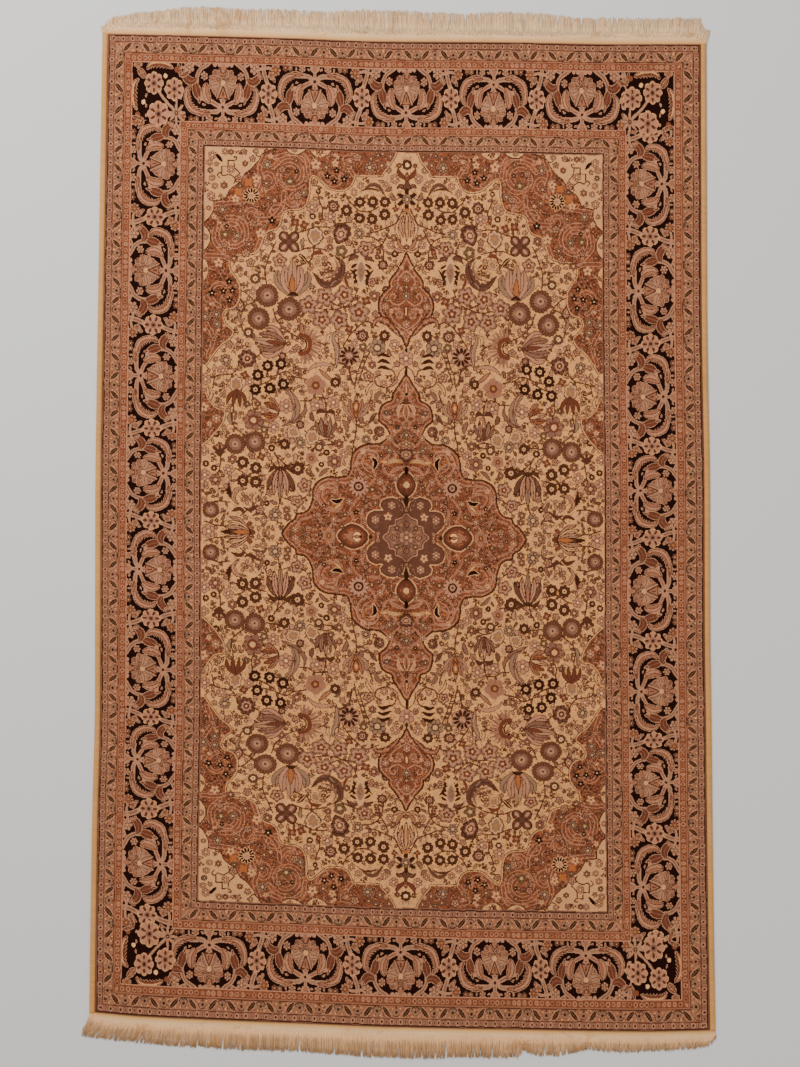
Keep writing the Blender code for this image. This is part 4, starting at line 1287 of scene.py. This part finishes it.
def pile_finish():
    """Knotted wool: one colour a knot, picked from the four that each face carries."""
    material, shader, here, loom = new_finish("knotted_wool", 0.95, 0.0)
    x = (loom.axis(0) * float(FACES_ACROSS // STRIPS)).math("FRACT")
    y = (loom.axis(1) * float(FACES_ALONG)).math("FRACT")
    yarn = [here.node("ShaderNodeAttribute", {"attribute_name": name}, {}) for name in KNOT_LAYERS]
    right, lower = x > 0.5, y > 0.5
    colour = lower.blend(right.blend(yarn[0], yarn[1]), right.blend(yarn[2], yarn[3]))
    dome = (x * TURN).math("COSINE") * (y * TURN).math("COSINE")
    colour_and_bumps(shader, colour, dome * 0.12 + here.noise(420.0), 0.0006, 0.5)
    return material


def rounded(from_edge, thickness, rounding):
    """Height of a top that rounds over at its edge."""
    short = np.maximum(rounding - from_edge, 0)
    return thickness - rounding + np.sqrt(rounding ** 2 - short ** 2)


def pile_height(across, along):
    """Height of the clipped pile over its plan."""
    x, y = np.moveaxis(pile_point(across, along), -1, 0)
    from_edge = np.minimum(np.minimum(across, 1 - across) * WIDTH, np.minimum(along, 1 - along) * LENGTH)
    height = rounded(from_edge, PILE_THICKNESS, PILE_ROUNDING)
    trough = CREASE_DEPTH * np.exp(-((x - CREASE_X) / CREASE_WIDTH) ** 2)
    wave = np.sin(3.1 * x + 2.0 * np.sin(1.7 * y)) * np.sin(4.3 * y + 0.8)
    return height - trough + PILE_WAVE * wave * np.clip(from_edge / LEVEL_RIM, 0, 1)


def flat_cloth(columns, rows):
    """A closed unit slab: a grid, its rim drawn down to the floor, and one face under it."""
    bm = bmesh.new()
    bmesh.ops.create_grid(bm, x_segments=columns, y_segments=rows, size=0.5)
    rim = [edge for edge in bm.edges if edge.is_boundary]
    walls = bmesh.ops.extrude_edge_only(bm, edges=rim)["geom"]
    for vert in walls:
        if isinstance(vert, bmesh.types.BMVert):
            vert.co.z = -1.0
    bmesh.ops.contextual_create(bm, geom=[edge for edge in bm.edges if edge.is_boundary])
    bmesh.ops.recalc_face_normals(bm, faces=bm.faces[:])
    return bm


def read_points(mesh):
    co = np.empty(len(mesh.vertices) * 3, np.float32)
    mesh.vertices.foreach_get("co", co)
    return co.reshape(-1, 3).astype(float)


def move_points(mesh, points):
    mesh.vertices.foreach_set("co", points.astype(np.float32).ravel())


def read_faces(mesh):
    """The point and the face of each face corner, and each face's number of corners."""
    corner_of = np.empty(len(mesh.loops), np.int32)
    mesh.loops.foreach_get("vertex_index", corner_of)
    counts = np.empty(len(mesh.polygons), np.int32)
    mesh.polygons.foreach_get("loop_total", counts)
    return corner_of, np.repeat(np.arange(len(counts)), counts), counts


def add_maps(mesh, **maps):
    """UV maps by name, each from its two shares at every face corner."""
    for name, shares in maps.items():
        uv = mesh.uv_layers.new(name=name)
        uv.data.foreach_set("uv", np.column_stack(shares).astype(np.float32).ravel())


def place_object(name, data):
    made = bpy.data.objects.new(name, data)
    bpy.context.scene.collection.objects.link(made)
    return made


def finish_piece(bm, name, material, node):
    """Make the piece, give it its finish, and hide the imported part that it stands for."""
    mesh = bpy.data.meshes.new(name)
    bm.to_mesh(mesh)
    bm.free()
    mesh.materials.append(material)
    piece = place_object(name, mesh)
    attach(piece, "root")
    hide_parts(node)
    return piece, mesh


BAKE_MARGIN = 0.06            # left free on either side of a run, as a share of its width
BAKE_RIM = 0.04               # the walls' share there
BAKE_UNDER = 0.08             # the share of the map that the underside takes


def lay_cloth(name, columns, rows, shape, material, node, runs):
    """A piece of cloth. shape gives the place and height at its shares across and along it.

    Its map for baking holds the top in side-by-side runs of its length, and the underside apart.
    """
    piece, mesh = finish_piece(flat_cloth(columns, rows), name, material, node)
    unit = read_points(mesh)
    across, along, under = 0.5 + unit[:, 0], 0.5 - unit[:, 1], unit[:, 2] < -0.5
    place, height = shape(across, along)
    move_points(mesh, np.column_stack((place, np.where(under, 0.0, height))))

    corner_of, face_of, counts = read_faces(mesh)
    middles = [np.bincount(face_of, share[corner_of]) / counts for share in (across, along, under)]
    run = np.clip((middles[1] * runs).astype(int), 0, runs - 1)[face_of]
    out = [under * BAKE_RIM * ((share > 0.9999) * 1.0 - (share < 0.0001)) for share in (across, along)]
    u = BAKE_MARGIN + (1 - 2 * BAKE_MARGIN) * (across + out[0])[corner_of]
    v = BAKE_UNDER + 0.01 + 0.9 * ((along + out[1] / 4)[corner_of] * runs - run)
    flat = (middles[2] > 0.99)[face_of]
    u = np.where(flat, 0.02 + 0.96 * along[corner_of], (u + run) / runs)
    v = np.where(flat, 0.01 + (BAKE_UNDER - 0.03) * across[corner_of], v)
    add_maps(mesh, OFBake=(u, v), loom=(across[corner_of], along[corner_of]))
    mesh.shade_smooth()
    mesh.set_sharp_from_angle(angle=math.radians(60))
    return piece, mesh, middles


def strip_shape(strip):
    def shape(across, along):
        across = (strip + across) / STRIPS
        return pile_point(across, along), pile_height(across, along)
    return shape


pile_material = pile_finish()
underside = knot_colour.mean((0, 1))
for strip in range(STRIPS):
    piece, mesh, (across, along, under) = lay_cloth(
        f"pile_{strip + 1}", FACES_ACROSS // STRIPS, FACES_ALONG, strip_shape(strip), pile_material,
        "pile_carpet", 3)
    column = np.minimum(across * FACES_ACROSS // STRIPS, FACES_ACROSS // STRIPS - 1).astype(int)
    column += FACES_ACROSS // STRIPS * strip
    row = np.clip(along * FACES_ALONG, 0, FACES_ALONG - 1).astype(int)
    for layer, (right, lower) in zip(KNOT_LAYERS, ((0, 0), (1, 0), (0, 1), (1, 1))):
        shade = np.ones((len(row), 4), np.float32)
        shade[:, :3] = knot_colour[2 * row + lower, 2 * column + right]
        shade[under > 0.99, :3] = underside
        mesh.attributes.new(layer, "FLOAT_COLOR", "FACE").data.foreach_set("color", shade.ravel())
    mesh.update()

# ---- The overcast selvedges ----
# Down each long side the outermost warps are bound together into a cord, 15 mm wide and half
# rounded on top. Tan wool is wrapped round and round it, each turn slanting across the cord.
GAP = 0.0003                  # between pieces that meet
SELVEDGE_WIDTH = 0.015
SELVEDGE_THICKNESS = 0.006
SELVEDGE_ROUNDING = 0.0055
WRAP_PITCH = 0.0026
WRAP_HEIGHT = 0.0003
WRAP_SLANT = 0.005            # how far one turn runs along the cord as it crosses it
WRAPS = round(LENGTH / WRAP_PITCH)
WRAP_SQUARE = 0.02            # how far from an end the turns come to lie square
SELVEDGE_LIGHT = (0.86, 0.41, 0.125, 1.0)
SELVEDGE_DARK = (0.60, 0.285, 0.082, 1.0)
SELVEDGE_GROOVE_SHADE = (0.36, 0.155, 0.045, 1.0)


def selvedge_finish():
    """Wrapped wool: a tone of its own for each turn, with painted shade in the grooves between turns, worn
    and dulled.
    """
    material, shader, here, loom = new_finish("wrapped_wool", 0.85, 0.05)
    turn = loom.axis(1) * float(WRAPS)
    wear = turn.math("FLOOR").throw() * 0.45 + here.noise(9.0, 4.0) * 1.1
    colour = (wear - 0.4).clamp().blend(SELVEDGE_DARK, SELVEDGE_LIGHT)
    # Painted shade: the colour darkens in the groove between one turn and the next
    groove_shade = (turn * TURN).math("COSINE") * -0.5 + 0.5
    colour = (groove_shade * 0.55).blend(colour, SELVEDGE_GROOVE_SHADE)
    colour_and_bumps(shader, colour, here.noise(900.0), 0.0004, 0.5)
    return material


def selvedge_shape(line, outwards):
    def shape(across, along):
        out = SELVEDGE_WIDTH * (1 - np.cos(np.pi * across)) / 2
        to_end = np.minimum(along, 1 - along) * LENGTH
        slant = WRAP_SLANT * (across - 0.5) * np.clip(to_end / WRAP_SQUARE, 0, 1) / LENGTH
        edge = side_point(line, along + slant * outwards)
        edge[:, 0] += outwards * (GAP + out)
        height = rounded(np.minimum(out, SELVEDGE_WIDTH - out), SELVEDGE_THICKNESS, SELVEDGE_ROUNDING)
        return edge, height - WRAP_HEIGHT * np.cos(2 * np.pi * WRAPS * along) * np.sin(np.pi * across)
    return shape


selvedge_material = selvedge_finish()
for name, line, outwards in (("left", LEFT_LINE, -1), ("right", RIGHT_LINE, 1)):
    piece, _, _ = lay_cloth(f"overcast_{name}", 6, 2 * WRAPS, selvedge_shape(line, outwards),
                            selvedge_material, f"selvedge_{name}", 12)

# ---- The flat-woven ends and their fringes ----
# Past the pile each end is woven flat in cotton, 30 mm deep, to hold the knots. The warps leave
# it as the fringe: thin strands in loose tufts, leaning together and cut to uneven lengths.
WEAVE_THICKNESS = 0.0025
WEAVE_WAVE = 0.0002           # how far its top rises and falls
# Columns: place across (x), depth of the weave from the pile
HEAD_WEAVE = (
    (-0.751, 0.010), (-0.736, 0.022), (-0.715, 0.028), (-0.680, 0.030), (0.720, 0.030), (0.743, 0.024),
    (0.758, 0.010))
FOOT_WEAVE = (
    (-0.785, 0.013), (-0.765, 0.026), (-0.735, 0.030), (0.755, 0.030), (0.772, 0.026), (0.782, 0.009))
# Columns: place across (x), how far the tips of the fringe reach there (y)
HEAD_TIPS = (
    (-0.750, 1.267), (-0.734, 1.285), (-0.720, 1.293), (-0.657, 1.304), (-0.595, 1.309), (-0.532, 1.316),
    (-0.470, 1.317), (-0.407, 1.312), (-0.282, 1.310), (-0.220, 1.305), (-0.095, 1.309), (0.092, 1.302),
    (0.155, 1.299), (0.217, 1.304), (0.342, 1.300), (0.467, 1.289), (0.592, 1.288), (0.717, 1.289),
    (0.742, 1.290), (0.752, 1.264), (0.767, 1.259))
FOOT_TIPS = (
    (-0.797, -1.255), (-0.765, -1.259), (-0.720, -1.264), (-0.657, -1.272), (-0.595, -1.277),
    (-0.532, -1.281), (-0.470, -1.285), (-0.377, -1.290), (-0.282, -1.292), (-0.220, -1.297),
    (-0.095, -1.306), (0.030, -1.310), (0.217, -1.308), (0.285, -1.308), (0.300, -1.293), (0.328, -1.302),
    (0.375, -1.305), (0.460, -1.291), (0.562, -1.295), (0.655, -1.290), (0.717, -1.286), (0.767, -1.278),
    (0.783, -1.258))
# Columns: place across (x), how far sideways a strand's tip leans from its root
HEAD_LEAN = (
    (-0.750, -0.004), (-0.620, 0.000), (0.620, 0.000), (0.700, 0.005), (0.760, 0.009))
FOOT_LEAN = (
    (-0.780, -0.019), (-0.700, -0.016), (-0.590, -0.010), (-0.470, 0.000), (0.700, 0.000), (0.760, 0.003))
WEAVE_COLUMNS = 420
WEAVE_ROWS = 12
WEFTS = 26                    # ribs of the weave, from the pile outwards
WARPS = 950                   # and across the rug
PUCKER_SAG = 0.002            # how far a pucker's ends bend away from the pile
PUCKER_DEPTH = 0.003
# Soft puckers in the weave. Columns: place across, its width, depth from the pile, height
HEAD_PUCKERS = (
    (0.435, 0.090, 0.0165, 0.0022), (0.548, 0.050, 0.0225, 0.0014), (0.660, 0.060, 0.0245, 0.0009),
    (-0.300, 0.200, 0.0200, 0.0006))
FOOT_PUCKERS = (
    (-0.520, 0.120, 0.0180, 0.0006), (0.330, 0.100, 0.0200, 0.0008), (0.060, 0.200, 0.0150, 0.0005))
# Old stains in the cotton. Columns: place across, half its width
STAINED = ((-0.460, 0.090), (-0.535, 0.012), (0.010, 0.012), (0.460, 0.035), (0.300, 0.020))
STRANDS = 2800                # to each end
STRAND_RADIUS = 0.0009
UNIT_RADIUS = 0.1             # of the strand that is repeated, before it is bent to its route
STRAND_RINGS = 4
STRAND_ROOTS = (0.001, 0.014)    # how far strands lie over the weave, least and most
STRAND_CELLS = 53             # cells on a side of the strands' map for baking, one a strand
TUFTS = 230                   # to each end
TUFT_PULL = 0.16              # how far a strand's tip is drawn to the middle of its tuft
TUFT_SWAY, STRAND_SWAY = 0.0016, 0.0008    # how far sideways tips fall from where they lean
ROOT_HEIGHTS = (0.0021, 0.0031)  # of the strands' middles over the floor, least and most
TIP_HEIGHTS = (0.0007, 0.0021)
STRAND_TAPER = 0.35           # share of its thickness that a strand loses by its tip
STRAY_STRANDS = 0.02          # share of the strands that sway out of their tufts
CUT_STRANDS = 0.22            # share of the strands that have worn or broken short
LEAST_REACH = 0.004           # of the shortest strand past its root
STRAND_BOW = 0.0010
# Colours of the cotton, light and dark, of its yellowed edge by the pile, and of its stains
WEAVE_COTTON = (0.99, 0.66, 0.36, 1.0), (0.80, 0.45, 0.20, 1.0)
# Painted light and shade: the head's strands are painted lighter and the foot's darker, as the light falls
# brighter on the head
LIT_HEAD_COTTON = (1.0, 0.70, 0.41, 1.0), (0.66, 0.40, 0.20, 1.0)
SHADED_FOOT_COTTON = (0.94, 0.56, 0.27, 1.0), (0.48, 0.25, 0.11, 1.0)
YELLOWED = (0.82, 0.40, 0.12, 1.0)
STAIN = (0.70, 0.35, 0.12, 1.0)


def cotton_finish(name, light, dark, ribs):
    """Undyed cotton, gone uneven with age. ribs says whether it is woven or loose strands; loose strands get
    painted light near their roots.
    """
    material, shader, here, loom = new_finish(name, 0.88, 0.05)
    across, along = loom.axis(0), loom.axis(1)
    patches = here.noise(14.0, 5.0)
    if ribs:
        thread = here.noise(300.0)
        colour = (patches * 0.8 + thread * 0.4 - 0.1).clamp().blend(dark, light)
        colour = ((across * -3.2 + 1.5).clamp() * 0.8).blend(colour, YELLOWED)
        weft = (across * (TURN * WEFTS)).math("SINE") * (along * (TURN * WARPS)).math("SINE")
        height, distance, strength = weft * 0.3 + thread, 0.0007, 0.6
    else:
        tuft = (along * float(TUFTS)).math("FLOOR").throw()
        colour = (patches * 0.5 + tuft * 0.45 + along.throw() * 0.35 - 0.15).clamp().blend(dark, light)
        # Painted light: strands fade to the light cotton towards their roots, so the fringe looks as lit as
        # the weave there
        colour = (across * -2.2 + 1.1).clamp(0.9).blend(colour, light)
        height, distance, strength = here.noise(1100.0), 0.0003, 0.5
    spots = here.noise(23.0, 3.0) * 7.0
    for middle, half in STAINED:
        near = ((here.axis(0) - middle).math("ABSOLUTE") * (-1 / half) + 1.0).math("MAXIMUM", 0.0)
        spots = spots + near * 0.9
    colour = (spots - 4.3).clamp(0.5).blend(colour, STAIN)
    colour_and_bumps(shader, colour, height, distance, strength)
    return material


def end_span(line):
    """Where an end starts and stops across the rug, under both selvedges."""
    return line[0][0] - SELVEDGE_WIDTH, line[-1][0] + SELVEDGE_WIDTH


def weave_shape(line, weave, puckers, outwards):
    left, right = end_span(line)

    def shape(across, along):
        x = left + (right - left) * along
        depth = GAP + (read_line(weave, x) - GAP) * across
        edge = np.clip(np.minimum(across, 1 - across) * 6, 0, 1) ** 0.5
        height = WEAVE_THICKNESS * (0.55 + 0.45 * edge) + WEAVE_WAVE * np.sin(37 * x + 4 * np.sin(11 * x))
        for middle, width, row, rise in puckers:
            off = (x - middle) / (width / 2)
            sag = row + PUCKER_SAG * off ** 2
            height = height + rise * np.exp(-off ** 2 * 1.4 - ((depth - sag) / PUCKER_DEPTH) ** 2)
        return np.column_stack((x, read_line(line, x) + outwards * depth)), height
    return shape


def fringe(name, line, weave, tips, lean, outwards, seed, material, node):
    """Strands of warp. One three-sided strand is repeated, and each copy is then bent to its route."""
    bm = bmesh.new()
    bmesh.ops.create_circle(bm, cap_ends=False, segments=3, radius=UNIT_RADIUS,
                            matrix=mathutils.Matrix.Rotation(math.pi / 2, 4, "X"))
    rim = bm.edges[:]
    for _ in range(STRAND_RINGS - 1):
        grown = bmesh.ops.extrude_edge_only(bm, edges=rim)["geom"]
        rim = [item for item in grown if isinstance(item, bmesh.types.BMEdge)]
        bmesh.ops.translate(bm, verts=[item for item in grown if isinstance(item, bmesh.types.BMVert)],
                            vec=(0, 1, 0))
    bmesh.ops.holes_fill(bm, edges=[edge for edge in bm.edges if edge.is_boundary], sides=3)
    bmesh.ops.recalc_face_normals(bm, faces=bm.faces[:])
    piece, mesh = finish_piece(bm, name, material, node)
    rows = piece.modifiers.new("strands", "ARRAY")
    rows.count = STRANDS
    rows.use_relative_offset = False
    rows.use_constant_offset = True
    rows.constant_offset_displace = (1, 0, 0)
    seen = piece.evaluated_get(bpy.context.evaluated_depsgraph_get())
    many = bpy.data.meshes.new_from_object(seen)
    piece.modifiers.clear()
    piece.data = many

    unit = read_points(many)
    strand = np.round(unit[:, 0]).astype(int)
    side_x, side_z = unit[:, 0] - strand, unit[:, 2]
    share = (unit[:, 1] / (STRAND_RINGS - 1)).clip(0, 1)
    dice = np.random.default_rng(seed)
    left, right = end_span(line)
    root_x = left + (right - left) * (np.arange(STRANDS) + dice.uniform(0.1, 0.9, STRANDS)) / STRANDS
    tuft_x = left + (right - left) * (np.arange(TUFTS) + dice.uniform(0.1, 0.9, TUFTS)) / TUFTS
    tuft = np.abs(root_x[:, None] - tuft_x).argmin(1)
    pull = TUFT_PULL * dice.uniform(0.3, 1.1, STRANDS) * (tuft_x[tuft] - root_x)
    stray = dice.random(STRANDS) < STRAY_STRANDS
    sway = (dice.normal(0, TUFT_SWAY, TUFTS)[tuft]
            + dice.normal(0, STRAND_SWAY, STRANDS) * np.where(stray, 6, 1))
    tip_x = root_x + read_line(lean, root_x) + pull + sway
    uneven = dice.uniform(-0.0025, 0.0015, TUFTS)[tuft] + dice.normal(0, 0.0016, STRANDS) + 0.002 * stray
    over = dice.uniform(*STRAND_ROOTS, STRANDS)
    root_y = read_line(line, root_x) + outwards * (read_line(weave, root_x) - over)
    reach = np.maximum(outwards * (read_line(tips, tip_x) - root_y) + uneven, LEAST_REACH)
    reach = reach * np.where(dice.random(STRANDS) < CUT_STRANDS, dice.uniform(0.55, 0.95, STRANDS), 1.0)
    bow = dice.normal(0, STRAND_BOW, STRANDS)
    root_z, tip_z = dice.uniform(*ROOT_HEIGHTS, STRANDS), dice.uniform(*TIP_HEIGHTS, STRANDS)
    radius = STRAND_RADIUS * (1 - STRAND_TAPER * share) / UNIT_RADIUS
    x = (root_x[strand] + (tip_x - root_x)[strand] * share ** 1.3
         + bow[strand] * np.sin(np.pi * share) + side_x * radius * outwards)
    y = root_y[strand] + outwards * reach[strand] * share
    z = root_z[strand] + (tip_z - root_z)[strand] * share + side_z * radius * 0.9
    move_points(many, np.column_stack((x, y, z)))

    corner_of, face_of, counts = read_faces(many)
    spot = (side_x + 1j * side_z)[corner_of]
    middle = (np.bincount(face_of, spot.real) + 1j * np.bincount(face_of, spot.imag)) / counts
    cap = (counts == 3)[face_of]
    facing = np.where(cap, 1, middle[face_of])
    side = np.round(np.angle(facing) / (2 * math.pi / 3) + 3) % 3
    u = np.where(cap, 0.5 + spot.real, (side + (np.angle(spot / facing) > 0)) / 3)
    v = np.where(cap, 0.92 + spot.imag / 3, 0.04 + 0.8 * share[corner_of])
    cell_x, cell_y = strand[corner_of] % STRAND_CELLS, strand[corner_of] // STRAND_CELLS
    u, v = (cell_x + 0.1 + 0.8 * u) / STRAND_CELLS, (cell_y + v) / STRAND_CELLS
    own = ((tuft + dice.random(STRANDS)) / TUFTS)[strand]
    add_maps(many, OFBake=(u, v), loom=(share[corner_of], own[corner_of]))
    many.shade_smooth()
    many.update()
    return piece


woven = cotton_finish("woven_cotton", *WEAVE_COTTON, True)
for end, cotton, line, weave, tips, lean, puckers, outwards, seed in (
        ("head", LIT_HEAD_COTTON, HEAD_LINE, HEAD_WEAVE, HEAD_TIPS, HEAD_LEAN, HEAD_PUCKERS, 1, 11),
        ("foot", SHADED_FOOT_COTTON, FOOT_LINE, FOOT_WEAVE, FOOT_TIPS, FOOT_LEAN, FOOT_PUCKERS, -1, 23)):
    node = f"fringed_end_{end}"
    loose = cotton_finish(f"loose_cotton_{end}", *cotton, False)
    strands = fringe(f"fringe_{end}", line, weave, tips, lean, outwards, seed, loose, node)
    cloth, _, _ = lay_cloth(f"weave_{end}", WEAVE_ROWS, WEAVE_COLUMNS,
                            weave_shape(line, weave, puckers, outwards), woven, node, 7)
    left, right = end_span(line)
    width = right - left
    cut = read_line(weave, np.linspace(left, right, 400))
    float(width * cut.mean())

# ---- The floor, the light and the camera ----
# A plain pale floor under plain soft studio light, seen from straight above.
FLOOR_REACH = 30.0
FLOOR_DROP = 0.0004           # how far the floor lies under the rug's underside
FLOOR_COLOUR = (0.72, 0.71, 0.69, 1)
FLOOR_ROUGHNESS = 0.8
ROOM_LIGHT = (1.0, 0.98, 0.95, 1)
ROOM_STRENGTH = 0.62
VIEW_MIDDLE = (-0.0075, 0.00125)   # the floor point in the middle of the photo's frame
VIEW_WIDTH = 2.0              # of floor, across the photo's frame
VIEW_HEIGHT = 6.0

bm = bmesh.new()
bmesh.ops.create_grid(bm, x_segments=1, y_segments=1, size=FLOOR_REACH)
bmesh.ops.translate(bm, verts=bm.verts[:], vec=(0, 0, -FLOOR_DROP))
floor_mesh = bpy.data.meshes.new("floor")
bm.to_mesh(floor_mesh)
bm.free()
floor_paint = bpy.data.materials.new("pale_floor")
floor_paint.use_nodes = True
paint = floor_paint.node_tree.nodes["Principled BSDF"].inputs
paint["Base Color"].default_value = FLOOR_COLOUR
paint["Roughness"].default_value = FLOOR_ROUGHNESS
floor_mesh.materials.append(floor_paint)
floor = place_object("floor", floor_mesh)

world = bpy.data.worlds.new("studio")
bpy.context.scene.world = world
world.use_nodes = True
room = world.node_tree.nodes["Background"].inputs
room["Color"].default_value = ROOM_LIGHT
room["Strength"].default_value = ROOM_STRENGTH
# Columns: name, place, size, power in watts
for name, place, size, power in (("key", (-2.2, 3.2, 3.6), 2.4, 257.0),
                                 ("fill", (3.0, -2.2, 3.4), 2.8, 32.0)):
    lamp = bpy.data.lights.new(name, "AREA")
    lamp.size = size
    lamp.energy = power
    light = place_object(name, lamp)
    light.location = place
    light.rotation_euler = (-light.location).to_track_quat("-Z", "Y").to_euler()

camera = bpy.data.cameras.new("camera")
camera.sensor_fit = "HORIZONTAL"
camera.sensor_width = 36.0
camera.lens = camera.sensor_width * VIEW_HEIGHT / VIEW_WIDTH
view = place_object("camera", camera)
view.location = (*VIEW_MIDDLE, VIEW_HEIGHT)
bpy.context.scene.camera = view
